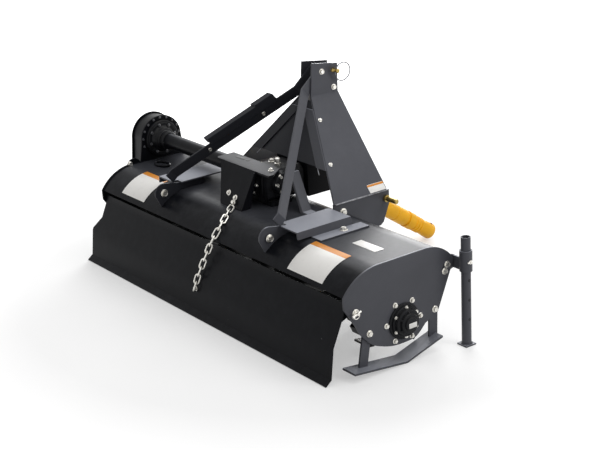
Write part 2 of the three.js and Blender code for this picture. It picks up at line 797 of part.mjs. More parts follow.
function flapRod() {
  const x0 = leftX - 12;
  const x1 = rightX + 18;
  const length = x1 - x0;
  const body = turned([x0, flapHingeY, flapHingeZ], [1, 0, 0], [
    [0, 0], [0, 10], [12 - gap, 10], [12 - gap, rodR], [length, rodR], [length, 0],
  ]);
  return meshOf("flap_rod", body, zinc);
}

// ---------------------------------------------------------------- rotor

const discEnd = bladeReach + hubDiscT / 2 + bladeClear;
const discFirstX = skidMid(-1) + skidW / 2 + discEnd;
const discLastX = skidMid(1) - skidW / 2 - discEnd;
const discX = (i) => discFirstX + ((discLastX - discFirstX) * i) / (discCount - 1);

function rotorShaft() {
  const x0 = leftX;
  const x1 = rightX;
  const body = turned([x0, 0, axleZ], [1, 0, 0], [
    [0, 0], [0, 40], [plateT + 6, 40], [plateT + 12, shaftR], [x1 - x0 - plateT - 12, shaftR],
    [x1 - x0 - plateT - 6, 40], [x1 - x0, 40], [x1 - x0, 0],
  ], 28);
  return meshOf("rotor_shaft", body, castBlack);
}

// One disc with six L-shaped blades, alternately to the left and to the right.
function tineDisc(i) {
  const x = discX(i);
  const ring = [
    [0, shaftR + gap], [0, hubDiscR], [hubDiscT, hubDiscR], [hubDiscT, shaftR + gap],
    [0, shaftR + gap],
  ];
  let body = turned([x - hubDiscT / 2, 0, 0], [1, 0, 0], ring, 30);
  const footIn = rotorR - 26;
  for (let k = 0; k < bladesPerDisc; k++) {
    const side = k % 2 === 0 ? 1 : -1;
    const inside = (side * hubDiscT) / 2;
    const curve = new THREE.Shape();
    curve.moveTo(-bladeW / 2, hubDiscR - 32);
    curve.lineTo(bladeW / 2, hubDiscR - 32);
    curve.lineTo(bladeW / 2 + 6, footIn);
    curve.lineTo(bladeW / 2 - 6, Math.sqrt(rotorR * rotorR - 14 * 14) - 1);
    curve.lineTo(-bladeW / 2 + 2, rotorR - 12);
    curve.lineTo(-bladeW / 2 - 2, footIn);
    const x0 = side > 0 ? inside - 1 : inside - bladeT + 1;
    const web = alongX(curve, x0, x0 + bladeT);
    const reach0 = side > 0 ? inside - 1 : inside - bladeReach;
    const reach1 = side > 0 ? inside + bladeReach : inside + 1;
    const foot = alongX(
      outline([
        [-16, rotorR - 17], [16, rotorR - 11], [14, rotorR - 3], [-16, rotorR - 9],
      ]),
      reach0,
      reach1,
    );
    const turn = (360 / bladesPerDisc) * k + i * 17;
    body = body.add(join(web, foot).translate([x, 0, 0]).rotate([turn, 0, 0]));
  }
  return meshOf("tine_disc_" + (i + 1), body.translate([0, 0, axleZ]), castBlack);
}

// ---------------------------------------------------------------- drive shaft

const ptoDir = [0, Math.cos(ptoAngle * deg), Math.sin(ptoAngle * deg)];
const ptoFrom = (s) => [0, ptoJointY + ptoDir[1] * s, inputZ + ptoDir[2] * s];

function ptoGuard() {
  const end = ptoLength;
  const tube = ptoGuardR;
  const bell = ptoBellR;
  const w = ptoWall;
  const body = turned(ptoFrom(0), ptoDir, [
    [34, bell - w], [34, bell], [120, tube + 4], [150, tube], [end - 190, tube],
    [end - 190, tube + 3], [end - 150, tube + 3], [end - 140, tube - 1], [end - 96, tube],
    [end - 84, tube + 3], [end, tube + 6], [end, tube + 6 - w], [end - 84, tube - w],
    [end - 140, tube - 1 - w], [end - 190, tube - w], [164, tube - w],
    [160, ptoShaftR + ptoRunClear], [150, ptoShaftR + ptoRunClear], [146, tube - w],
    [120, tube + 4 - w], [34, bell - w],
  ], 28);
  return meshOf("pto_guard", body, yellow);
}

function ptoShaft() {
  const end = ptoLength;
  const body = turned(ptoFrom(0), ptoDir, [
    [ptoBallR + gap, 0], [ptoBallR + gap, 10], [46, 24], [84, 24], [96, ptoShaftR],
    [end - 70, ptoShaftR], [end - 60, 24], [end - 6, 24], [end - 6, 0],
  ]);
  return meshOf("pto_shaft", body, steel);
}

function inputYoke() {
  const y0 = noseFrontY + gap;
  const reach = ptoJointY - y0;
  const profile = [[0, 0], [0, 26], [24, 26], [30, 12]];
  for (let a = 140; a >= 15; a -= 25) {
    profile.push([reach + ptoBallR * Math.cos(a * deg), ptoBallR * Math.sin(a * deg)]);
  }
  profile.push([reach + ptoBallR, 0]);
  return meshOf("input_yoke", turned([0, y0, inputZ], [0, 1, 0], profile), steel);
}

// ---------------------------------------------------------------- chain

function flapChain() {
  const lift = chainR + 4;
  const at = (share, y, z) => new THREE.Vector3(chainX + chainBow * share, y, z);
  const over = (angle, share) => at(share, ...rearArcPoint(angle, rearArcR + lift));
  const path = new THREE.CatmullRomCurve3([
    at(0, chainHookY, chainHookZ),
    over(102, 0.2), over(114, 0.62), over(126, 0.91), over(137, 1), over(146, 0.97),
    at(0.66, -303, 270), at(0.28, -326.5, 190), at(0.05, -337.5, 142), at(-0.12, -339.2, 112),
  ]);
  const section = new THREE.Shape();
  section.absarc(0, 0, chainR, 0, 2 * Math.PI, false);
  const tube = new THREE.ExtrudeGeometry(section, {
    steps: 26, bevelEnabled: false, extrudePath: path, curveSegments: 4,
  });
  return meshOf("flap_chain", solid(tube), zinc);
}

// ---------------------------------------------------------------- assembly

const leftDome = join(
  driveDome(leftX, leftX + plateT, domeR, deckZ - 40),
  alongX(new THREE.Shape().absarc(-104, deckZ - 9, 36, 0, 2 * Math.PI), leftX, leftX + plateT, 12),
);

const tiller = new THREE.Group();
tiller.add(
  hood(),
  sidePlate("right_side_plate", rightX - plateT),
  sidePlate("left_side_plate", leftX, leftDome),
  sideDriveCase(),
  sideDriveCover(),
  driveFlange(),
  crossTube(),
  gearbox(),
  gearboxBracket(),
  bearingHub(),
  flapRod(),
  flap(),
  rotorShaft(),
  standBracket(),
  parkingStand(),
  topHitchPin(),
  mastSpacer(),
  mastRearPanel(),
  inputShield(),
  strutBox(),
  ptoGuard(),
  ptoShaft(),
  inputYoke(),
  flapChain(),
  brace(),
);
for (const [word, side] of [["right", 1], ["left", -1]]) {
  tiller.add(
    mastSide(word + "_mast_side", side),
    strut(word + "_strut", side, side > 0 ? charcoal : black),
    rearBracket(word + "_rear_bracket", side),
    deckBeam(word + "_deck_beam", side),
    hitchPlate(word + "_hitch_plate", side),
    hitchPin(word + "_hitch_pin", side),
    skid(word + "_skid", side),
  );
}
for (let i = 0; i < discCount; i++) tiller.add(tineDisc(i));

// The origin is on the floor, below the middle of the whole machine.
const whole = new THREE.Box3().setFromObject(tiller);
const middle = whole.getCenter(new THREE.Vector3());
tiller.position.set(-middle.x, -middle.y, -whole.min.z);

export default tiller;
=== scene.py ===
"""Looks of a three-point rotary tiller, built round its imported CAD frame.

Sizes are in millimetres on the machine's own axes: x to the right from the middle of the
hitch, y forward from the rotor's axis, z up from the floor. Yard turns them into metres in
the frame's place. Every new shape is a surface of two parameters on a grid, or a profile
carried along a path.
"""

import logging
import math
from dataclasses import dataclass, field
from enum import Enum

import bmesh
import bpy
import numpy as np
from mathutils import Matrix, Vector


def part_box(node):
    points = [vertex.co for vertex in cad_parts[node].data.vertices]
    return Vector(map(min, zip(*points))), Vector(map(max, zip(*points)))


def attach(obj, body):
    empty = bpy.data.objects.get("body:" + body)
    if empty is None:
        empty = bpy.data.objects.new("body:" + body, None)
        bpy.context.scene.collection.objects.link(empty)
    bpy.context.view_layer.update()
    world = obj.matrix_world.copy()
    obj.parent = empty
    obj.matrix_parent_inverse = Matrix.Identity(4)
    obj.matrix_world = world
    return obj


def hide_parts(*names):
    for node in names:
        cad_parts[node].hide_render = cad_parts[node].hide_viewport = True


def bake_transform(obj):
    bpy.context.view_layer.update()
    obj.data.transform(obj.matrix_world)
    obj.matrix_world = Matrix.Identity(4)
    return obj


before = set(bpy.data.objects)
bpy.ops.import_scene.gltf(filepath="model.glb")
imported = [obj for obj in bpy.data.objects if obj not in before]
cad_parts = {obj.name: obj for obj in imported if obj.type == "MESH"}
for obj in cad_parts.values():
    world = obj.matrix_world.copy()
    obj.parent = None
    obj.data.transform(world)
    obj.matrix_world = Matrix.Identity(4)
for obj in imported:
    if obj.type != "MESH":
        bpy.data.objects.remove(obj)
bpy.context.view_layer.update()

log = logging.getLogger("tiller")
Points = np.ndarray
Place = tuple[float, float, float]
Profile = tuple[tuple[float, float], ...]

RIGHT, LEFT, FRONT, REAR, UP = (1, 0, 0), (-1, 0, 0), (0, 1, 0), (0, -1, 0), (0, 0, 1)
CRISP = 32.0  # edges that turn more than this many degrees stay sharp
SOFT = 0.3  # where a bevel's middle ring lies, as a share of the bevel


# ---------------------------------------------------------------- the machine's axes


class Body(Enum):
    """The parts of the machine that move on their own."""

    ROOT = "root"
    FLAP = "flap"
    STAND = "stand"
    ROTOR = "rotor"
    GUARD = "drive_guard"
    SHAFT = "drive_shaft"
    INPUT = "input"


class Slot(Enum):
    """The record's paint and metal slots."""

    GREY = "grey_paint"
    BLACK = "black_paint"
    CAST = "black_cast"
    ZINC = "zinc"
    GOLD = "gold_zinc"
    STEEL = "steel"
    YELLOW = "yellow_plastic"


@dataclass(frozen=True)
class Yard:
    """Turns the machine's millimetres into the frame's metres."""

    shaft_mid_x: float = 25.0

    def offset(self) -> Points:
        """The frame's place of the machine's own origin, from the rotor shaft's box."""
        low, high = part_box("rotor_shaft")
        middle = (np.array(low) + np.array(high)) / 2
        return np.array([middle[0] - self.shaft_mid_x / 1000, middle[1], 0.0])

    def metres(self, points: Points) -> Points:
        """The points, in millimetres, as places in the frame."""
        return np.asarray(points, float) / 1000 + self.offset()


YARD = Yard()


# ---------------------------------------------------------------- surfaces


@dataclass
class Skin:
    """Points in millimetres with the four-sided and many-sided faces between them."""

    points: Points
    quads: Points
    caps: list[Points] = field(default_factory=list)

    def __add__(self, other: "Skin") -> "Skin":
        """Both skins as one, the second's faces counted on after the first's points."""
        shift = len(self.points)
        return Skin(
            np.vstack([self.points, other.points]),
            np.vstack([self.quads, other.quads + shift]),
            self.caps + [cap + shift for cap in other.caps],
        )

    def placed(self, origin: Points, axes: Points) -> "Skin":
        """The skin drawn on other axes: point = origin + x * axes[0] + y * axes[1] + z * axes[2]."""
        return Skin(np.asarray(origin, float) + self.points @ np.asarray(axes, float), self.quads, self.caps)

    def shifted(self, x: float, y: float, z: float) -> "Skin":
        """The skin moved by (x, y, z)."""
        return Skin(self.points + np.array([x, y, z], float), self.quads, self.caps)

    def mirrored(self) -> "Skin":
        """The skin's mirror image across x = 0."""
        return Skin(self.points * np.array([-1.0, 1.0, 1.0]), self.quads[:, ::-1], [c[::-1] for c in self.caps])


def gathered(skins: list[Skin]) -> Skin:
    """Joins a list of skins into one.

    Args:
        skins: the skins, at least one.

    Returns:
        One skin that holds them all.
    """
    whole = skins[0]
    for skin in skins[1:]:
        whole = whole + skin
    return whole


def unit(v: Points) -> Points:
    """The vector, or each row of vectors, at length one."""
    v = np.asarray(v, float)
    return v / np.maximum(np.linalg.norm(v, axis=-1, keepdims=True), 1e-12)


def across(axis: Points) -> tuple[Points, Points]:
    """Two directions square to an axis and to each other.

    Args:
        axis: the axis.

    Returns:
        The two directions, each of length one.
    """
    axis = unit(axis)
    helper = np.array([0.0, 0.0, 1.0]) if abs(axis[2]) < 0.9 else np.array([0.0, 1.0, 0.0])
    first = unit(np.cross(helper, axis))
    return first, np.cross(axis, first)


def spokes(count: int) -> Points:
    """Angles once round, in radians, the first 0."""
    return np.linspace(0, 2 * np.pi, count, endpoint=False)


def wheel(axis: Points, angle: Points) -> Points:
    """Directions round an axis: cos a * u + sin a * v, with u and v square to it."""
    u, v = across(axis)
    return np.cos(angle)[:, None] * u + np.sin(angle)[:, None] * v


def run_of(path: Points) -> Points:
    """Distance along a path at each of its points."""
    return np.concatenate([[0.0], np.cumsum(np.linalg.norm(np.diff(path, axis=0), axis=1))])


def sampled(path: Points, at: Points) -> Points:
    """The path's points at the given distances along it."""
    return np.stack([np.interp(at, run_of(path), path[:, k]) for k in range(3)], axis=-1)


def woven(grid: Points, wrap_rows: bool = False, wrap_columns: bool = True, capped: bool = True) -> Skin:
    """A skin over a grid of points: face (i, j) joins points (i, j), (i+1, j), (i+1, j+1), (i, j+1).

    Args:
        grid: points as rows, columns, 3.
        wrap_rows: the last row joins the first.
        wrap_columns: the last column joins the first.
        capped: the first and last rows are closed with one flat face each.

    Returns:
        The skin.
    """
    rows, columns = grid.shape[:2]
    index = np.arange(rows * columns).reshape(rows, columns)
    wide = np.hstack([index, index[:, :1]]) if wrap_columns else index
    tall = np.vstack([wide, wide[:1]]) if wrap_rows else wide
    quads = np.stack([tall[:-1, :-1], tall[1:, :-1], tall[1:, 1:], tall[:-1, 1:]], axis=-1).reshape(-1, 4)
    caps = [index[0][::-1], index[-1]] if capped and not wrap_rows else []
    return Skin(grid.reshape(-1, 3), quads, caps)


def turned(at: Points, axis: Points, profile: Profile, sides: int = 32) -> Skin:
    """A turned surface: point(s, a) = at + axis * s + r(s) * (cos a * u + sin a * v).

    Args:
        at: where s = 0 lies on the axis.
        axis: the axis.
        profile: pairs of distance along the axis and radius.
        sides: points round the axis.

    Returns:
        The surface, its two ends closed.
    """
    s, r = np.array(profile, float).T
    ring = wheel(axis, spokes(sides))
    return woven(np.asarray(at, float) + s[:, None, None] * unit(axis) + r[:, None, None] * ring[None])


def carried(path: Points, section: Points, up: Points, closed: bool = False, scale: Points | None = None) -> Skin:
    """A section along a path: point(t, k) = path(t) + scale(t) * (a(k) * side(t) + b(k) * top(t)).

    Args:
        path: the path's points.
        section: the section's (a, b) pairs, once round.
        up: the direction that top stays nearest to.
        closed: the path's end joins its start.
        scale: the section's size at each path point.

    Returns:
        The surface.
    """
    path = np.asarray(path, float)
    if closed:
        tangent = unit(np.roll(path, -1, axis=0) - np.roll(path, 1, axis=0))
    else:
        tangent = unit(np.gradient(path, axis=0))
    side = unit(np.cross(tangent, np.asarray(up, float)))
    top = np.cross(side, tangent)
    size = np.ones(len(path)) if scale is None else np.asarray(scale, float)
    a, b = np.asarray(section, float).T
    ring = a[None, :, None] * side[:, None] + b[None, :, None] * top[:, None]
    grid = path[:, None] + size[:, None, None] * ring
    return woven(grid, wrap_rows=closed, capped=not closed)


def circle(radius: float, sides: int = 12) -> Points:
    """A circle's points, (radius * cos a, radius * sin a), once round."""
    return radius * np.stack([np.cos(spokes(sides)), np.sin(spokes(sides))], axis=-1)


def bow(centre: tuple[float, float], radius: float, start: float, end: float, count: int = 12) -> Points:
    """Points of an arc, centre + radius * (cos a, sin a).

    Args:
        centre: the arc's centre.
        radius: its radius.
        start: first angle, in degrees.
        end: last angle, in degrees.
        count: number of points.

    Returns:
        The points.
    """
    angle = np.radians(np.linspace(start, end, count))
    return np.array(centre) + radius * np.stack([np.cos(angle), np.sin(angle)], axis=-1)


def slab_outline(width: float, height: float, corner: float) -> Points:
    """A rectangle about the origin with rounded corners, each corner an arc of five points."""
    w, h = width / 2 - corner, height / 2 - corner
    return np.vstack([
        bow((w, h), corner, 0, 90, 5), bow((-w, h), corner, 90, 180, 5),
        bow((-w, -h), corner, 180, 270, 5), bow((w, -h), corner, 270, 360, 5),
    ])


def drawn_in(outline: Points, depth: float) -> Points:
    """The outline moved inwards: p - depth * (n1 + n2) / (1 + n1 . n2), n1 and n2 its edges' outward normals.

    Args:
        outline: the outline's points, once round.
        depth: how far each edge moves.

    Returns:
        The smaller outline.
    """
    after = unit(np.roll(outline, -1, axis=0) - outline)
    before = np.roll(after, 1, axis=0)
    x, y = outline.T
    area = np.sum(x * np.roll(y, -1) - np.roll(x, -1) * y)
    turn = 1.0 if area > 0 else -1.0
    n1 = turn * np.stack([before[:, 1], -before[:, 0]], axis=-1)
    n2 = turn * np.stack([after[:, 1], -after[:, 0]], axis=-1)
    flat = np.maximum(1 + np.sum(n1 * n2, axis=-1, keepdims=True), 0.3)
    return outline - depth * (n1 + n2) / flat


class Along(Enum):
    """The direction in which a flat outline is given its thickness."""

    X = ((0, 1, 0), (0, 0, 1), (1, 0, 0))
    Y = ((1, 0, 0), (0, 0, 1), (0, 1, 0))
    Z = ((1, 0, 0), (0, 1, 0), (0, 0, 1))


def plate(outline: Points, along: Along, low: float, high: float, edge: float = 0.8) -> Skin:
    """An outline carried through its thickness, drawn in by `edge` at both faces.

    Args:
        outline: points in (y, z), (x, z) or (x, y), as the direction says.
        along: the direction of the thickness.
        low: lower face.
        high: upper face.
        edge: size of the bevel round both faces.

    Returns:
        The plate.
    """
    outline = np.asarray(outline, float)
    small, soft, ease = drawn_in(outline, edge), drawn_in(outline, edge * SOFT), edge * SOFT
    rings = [(small, low), (soft, low + ease), (outline, low + edge),
             (outline, high - edge), (soft, high - ease), (small, high)]
    grid = np.stack([np.column_stack([ring, np.full(len(ring), level)]) for ring, level in rings])
    return woven(grid).placed([0, 0, 0], along.value)


def bead(path: Points, size: float, up: Points, pitch: float = 5.0, swell: float = 0.16) -> Skin:
    """A weld bead: a round section along a path whose radius swells with each ripple.

    Args:
        path: the path's corner points.
        size: the bead's radius.
        up: a direction square to the path.
        pitch: length of a ripple.
        swell: a ripple's height as a share of the radius.

    Returns:
        The bead, radius = size * (1 + swell * |sin(pi * s / pitch)|).
    """
    path = np.asarray(path, float)
    length = run_of(path)[-1]
    s = np.linspace(0, length, max(int(length / pitch * 4), 8))
    scale = 1 + swell * np.abs(np.sin(np.pi * s / pitch))
    scale[[0, -1]] = 0.5
    return carried(sampled(path, s), circle(size, 8), up, scale=scale)


@dataclass(frozen=True)
class Bolt:
    """A hexagon-headed bolt on its washer."""

    flats: float = 19.0
    head: float = 8.0
    washer: float = 14.5
    washer_t: float = 2.4
    stud: float = 0.0
    sides: int = 24
    thread_pitch: float = 0.9

    def thread(self, at: Points, axis: Points) -> Skin:
        """The thread's end over the head, its radius stepping in and out by half a millimetre."""
        top, radius = self.washer_t + self.head - 1, self.flats * 0.3
        steps = np.arange(0, self.stud, self.thread_pitch)
        profile = [(top + s, radius - (0.5 if k % 2 else 0.0)) for k, s in enumerate(steps)]
        return turned(at, axis, profile + [(top + self.stud, radius - 1.2)], 16)

    def skin(self, at: Points, axis: Points, turn: float = 0.0) -> Skin:
        """The bolt: head radius r(a) = flats / 2 / cos((a mod 60) - 30), rounded off at its top.

        Args:
            at: middle of the washer's lower face.
            axis: the way the head stands.
            turn: turn of the hexagon, in degrees.

        Returns:
            Washer, head and, where it has one, the end of the thread.
        """
        w, top, inner = self.washer_t, self.washer_t + self.head, self.flats / 2
        rim = [(0, self.washer), (w * 0.7, self.washer), (w, self.washer - 1), (w, self.flats * 0.4)]
        angle = spokes(self.sides)
        hexagon = inner / np.cos(np.radians(np.mod(np.degrees(angle) + turn, 60) - 30))
        flat = np.full(self.sides, inner)
        levels = [(w, hexagon - 0.6), (w + 0.6, hexagon), (w + self.head * 0.74, hexagon),
                  (top, np.minimum(hexagon, inner)), (top, flat * 0.86), (top - 0.5, flat * 0.8)]
        ring = wheel(axis, angle)
        grid = np.stack([np.asarray(at, float) + s * unit(axis) + r[:, None] * ring for s, r in levels])
        whole = turned(at, axis, rim, self.sides) + woven(grid)
        return whole + self.thread(at, axis) if self.stud else whole

    def row(self, places: list[Place] | Points, axis: Points) -> Skin:
        """One bolt at each place, each hexagon turned a little differently."""
        return gathered([self.skin(np.array(p, float), axis, 17.0 * k) for k, p in enumerate(places)])

    def ring(self, centre: Points, axis: Points, radius: float, count: int, phase: float = 0.0) -> Skin:
        """Bolts round a circle, at the angles phase + k * 360 / count."""
        angle = np.radians(phase + np.arange(count) * 360 / count)
        return self.row(np.asarray(centre, float) + radius * wheel(axis, angle), axis)


# ---------------------------------------------------------------- finishes


class Wire:
    """A shader socket with arithmetic, so that a finish reads as its formula."""

    def __init__(self, tree: bpy.types.NodeTree, socket: bpy.types.NodeSocket) -> None:
        """Holds the socket and its tree."""
        self.tree = tree
        self.socket = socket

    def sum_of(self, operation: str, *terms: "Wire | float") -> "Wire":
        """One maths node.

        Args:
            operation: the node's operation.
            terms: its inputs, in order.

        Returns:
            The node's result.
        """
        node = self.tree.nodes.new("ShaderNodeMath")
        node.operation = operation
        for place, term in zip(node.inputs, terms):
            if isinstance(term, Wire):
                self.tree.links.new(term.socket, place)
            else:
                place.default_value = float(term)
        return Wire(self.tree, node.outputs[0])

    def __add__(self, other: "Wire | float") -> "Wire":
        """Sum."""
        return self.sum_of("ADD", self, other)

    def __radd__(self, other: float) -> "Wire":
        """Sum, the number first."""
        return self + other

    def __sub__(self, other: "Wire | float") -> "Wire":
        """Difference."""
        return self.sum_of("SUBTRACT", self, other)

    def __rsub__(self, other: float) -> "Wire":
        """Difference, the number first."""
        return self.sum_of("SUBTRACT", other, self)

    def __mul__(self, other: "Wire | float") -> "Wire":
        """Product."""
        return self.sum_of("MULTIPLY", self, other)

    def __rmul__(self, other: float) -> "Wire":
        """Product, the number first."""
        return self * other

    def held(self) -> "Wire":
        """The value kept between 0 and 1."""
        wire = self.sum_of("ADD", self, 0.0)
        wire.socket.node.use_clamp = True
        return wire

    def over(self, low: float, high: float) -> "Wire":
        """0 below low, 1 above high, straight between."""
        return ((self - low) * (1 / (high - low))).held()


class Bench:
    """One finish's node tree: a Principled shader and the moves used to wire it."""

    def __init__(self, name: str) -> None:
        """Makes the material and its shader.

        Args:
            name: the material's name.
        """
        self.material = bpy.data.materials.new(name)
        self.material.use_nodes = True
        self.tree = self.material.node_tree
        self.shader = next(n for n in self.tree.nodes if n.type == "BSDF_PRINCIPLED")
        self.place = self.node("ShaderNodeTexCoord", {}).outputs["Object"]

    def node(self, kind: str, inputs: dict[str, object], **settings: object) -> bpy.types.Node:
        """Any node, its settings and its inputs.

        Args:
            kind: the node's type name.
            inputs: values, sockets or wires by input name.
            settings: the node's own properties.

        Returns:
            The node.
        """
        made = self.tree.nodes.new(kind)
        for key, value in settings.items():
            setattr(made, key, value)
        for key, value in inputs.items():
            self.feed(made.inputs[key], value)
        return made

    def feed(self, place: bpy.types.NodeSocket, value: object) -> None:
        """Links a wire or socket to an input, or sets the input's value."""
        if isinstance(value, Wire):
            self.tree.links.new(value.socket, place)
        elif isinstance(value, bpy.types.NodeSocket):
            self.tree.links.new(value, place)
        else:
            place.default_value = value

    def speckle(self, scale: float, detail: float = 3.0, rough: float = 0.5, stretch: Place = (1, 1, 1)) -> Wire:
        """Noise over the object's own space.

        Args:
            scale: grains per metre.
            detail: layers of finer noise.
            rough: weight of the finer layers.
            stretch: the space's scale along x, y and z.

        Returns:
            A value about 0.5.
        """
        spread = self.node("ShaderNodeMapping", {"Vector": self.place, "Scale": stretch}).outputs[0]
        grains = {"Vector": spread, "Scale": scale, "Detail": detail, "Roughness": rough}
        return Wire(self.tree, self.node("ShaderNodeTexNoise", grains).outputs[0])

    def facing_up(self) -> Wire:
        """How far the surface faces up, -1 to 1."""
        geometry = self.node("ShaderNodeNewGeometry", {})
        split = self.node("ShaderNodeSeparateXYZ", {"Vector": geometry.outputs["Normal"]})
        return Wire(self.tree, split.outputs["Z"])

    def mixed(self, share: Wire, first: object, second: object) -> bpy.types.NodeSocket:
        """A colour between two, by share.

        Args:
            share: 0 gives the first, 1 the second.
            first: colour or colour socket.
            second: colour or colour socket.

        Returns:
            The colour socket.
        """
        mix = self.node("ShaderNodeMix", {}, data_type="RGBA")
        self.feed(mix.inputs[0], share)
        self.feed(mix.inputs[6], first)
        self.feed(mix.inputs[7], second)
        return mix.outputs[2]

    def bumped(self, height: Wire, depth: float) -> None:
        """Raises the surface by height * depth metres."""
        bump = self.node("ShaderNodeBump", {"Height": height, "Distance": depth, "Strength": 1.0})
        self.set(Normal=bump.outputs[0])

    def set(self, **values: object) -> None:
        """Sets or links the shader's inputs; an underscore in a name stands for a space."""
        for key, value in values.items():
            self.feed(self.shader.inputs[key.replace("_", " ")], value)


def colour(text: str, gain: float = 1.0) -> tuple[float, float, float, float]:
    """A colour from its six hex digits, as linear light.

    Args:
        text: the digits, as seen on a screen.
        gain: times this.

    Returns:
        Red, green, blue and 1.
    """
    seen = [int(text[i:i + 2], 16) / 255 for i in (0, 2, 4)]
    light = [c / 12.92 if c <= 0.04045 else ((c + 0.055) / 1.055) ** 2.4 for c in seen]
    return (light[0] * gain, light[1] * gain, light[2] * gain, 1.0)


@dataclass(frozen=True)
class Paint:
    """Sprayed paint on steel: orange peel, faint clouds, dust on what faces up and a painted sheen on flat tops, a few
    chips.
    """

    name: str
    shade: str
    roughness: float = 0.32
    peel: float = 0.00006
    dust: float = 0.03
    shine: float = 0.2
    # strength of the painted sheen: flat tops lightened towards the pale shade as a painted reflection
    painted_sheen: float = 0.1
    # the pale shade that both the dust and the painted sheen mix towards
    dust_and_sheen_shade: str = "a3a6b0"
    bare_shade: str = "9a9a9c"

    def material(self) -> bpy.types.Material:
        """Colour = paint * (0.88..1.12 by clouds), then dust on what faces up and a painted sheen on flat tops that
        stands in for reflected light, then bare specks.
        """
        bench = Bench(self.name)
        clouds = bench.speckle(4.0, 4.0)
        base = bench.mixed(clouds.over(0.3, 0.7), colour(self.shade, 0.88), colour(self.shade, 1.12))
        grime = bench.speckle(22.0, 5.0, 0.65)
        up = bench.facing_up()
        up_facing_mix = up.over(0.1, 1.0) * grime.over(0.42, 0.75) * self.dust
        # painted sheen: near-flat tops lightened as a painted reflection of the bright surroundings, on top of the dust
        up_facing_mix = up_facing_mix + up.over(0.93, 0.995) * (0.7 + 0.6 * clouds) * self.painted_sheen
        dust_and_sheen_colour = bench.mixed(up_facing_mix, base, colour(self.dust_and_sheen_shade))
        chips = bench.speckle(150.0, 2.0).over(0.76, 0.79) * bench.speckle(9.0, 2.0).over(0.58, 0.7)
        bench.set(Base_Color=bench.mixed(chips, dust_and_sheen_colour, colour(self.bare_shade)), Metallic=0.0)
        streak = bench.speckle(60.0, 3.0, 0.6, (1, 1, 0.15))
        bench.set(Roughness=(self.roughness - 0.06 + 0.12 * streak + 0.25 * up_facing_mix).held())
        bench.bumped(bench.speckle(260.0, 2.0), self.peel)
        bench.set(Specular_IOR_Level=self.shine)
        return bench.material


@dataclass(frozen=True)
class Casting:
    """Painted sand casting: grainy, mottled, satin."""

    name: str
    shade: str
    roughness: float = 0.42
    grain: float = 0.0004
    shine: float = 0.22

    def material(self) -> bpy.types.Material:
        """Colour = paint * (0.75..1.3 by mottling); the grain sums two noises."""
        bench = Bench(self.name)
        mottle = bench.speckle(35.0, 4.0, 0.6)
        base = bench.mixed(mottle.over(0.3, 0.7), colour(self.shade, 0.75), colour(self.shade, 1.3))
        up_facing_mix = bench.facing_up().over(0.2, 1.0) * bench.speckle(30.0, 4.0).over(0.45, 0.7) * 0.07
        bench.set(Base_Color=bench.mixed(up_facing_mix, base, colour("8f8b84")))
        bench.set(Roughness=(self.roughness + 0.16 * (mottle - 0.5)).held())
        bench.bumped(bench.speckle(420.0, 3.0) * 0.5 + bench.speckle(120.0, 2.0), self.grain)
        bench.set(Specular_IOR_Level=self.shine)
        return bench.material


@dataclass(frozen=True)
class Plated:
    """Bright or yellow zinc, or bare steel."""

    name: str
    light: str
    dark: str
    roughness: float = 0.3

    def material(self) -> bpy.types.Material:
        """Colour runs from dark to light by a cloudy noise; fine marks change the roughness."""
        bench = Bench(self.name)
        clouds = bench.speckle(70.0, 4.0, 0.6)
        bench.set(Base_Color=bench.mixed(clouds.over(0.3, 0.68), colour(self.dark), colour(self.light)))
        marks = bench.speckle(500.0, 2.0)
        bench.set(Roughness=(self.roughness + 0.22 * (marks - 0.5)).held(), Metallic=0.9)
        bench.bumped(marks, 0.00004)
        return bench.material


@dataclass(frozen=True)
class Moulded:
    """Moulded plastic: slightly soft gloss, fine grain, scuffs."""

    name: str
    shade: str
    roughness: float = 0.38
    grain: float = 0.00005
    shine: float = 0.3

    def material(self) -> bpy.types.Material:
        """Colour = plastic * (0.9..1.06 by clouds), darker in the scuffs."""
        bench = Bench(self.name)
        clouds = bench.speckle(9.0, 3.0)
        base = bench.mixed(clouds.over(0.3, 0.7), colour(self.shade, 0.9), colour(self.shade, 1.06))
        scuffs = bench.speckle(80.0, 4.0, 0.7, (1, 0.2, 1)).over(0.62, 0.72) * 0.25
        bench.set(Base_Color=bench.mixed(scuffs, base, colour(self.shade, 0.45)))
        bench.set(Roughness=(self.roughness + 0.5 * scuffs).held())
        bench.bumped(bench.speckle(600.0, 2.0), self.grain)
        bench.set(Specular_IOR_Level=self.shine)
        return bench.material


@dataclass(frozen=True)
class Film:
    """Printed vinyl label stock, left blank."""

    name: str
    shade: str

    def material(self) -> bpy.types.Material:
        """Colour with faint soiling; a low long wave lifts it like stuck film."""
        bench = Bench(self.name)
        soil = bench.speckle(40.0, 5.0, 0.7).over(0.55, 0.8) * 0.16
        bench.set(Base_Color=bench.mixed(soil, colour(self.shade), colour("8b8780")))
        bench.set(Roughness=0.34 + 0.3 * soil)
        bench.bumped(bench.speckle(30.0, 2.0), 0.00025)
        return bench.material


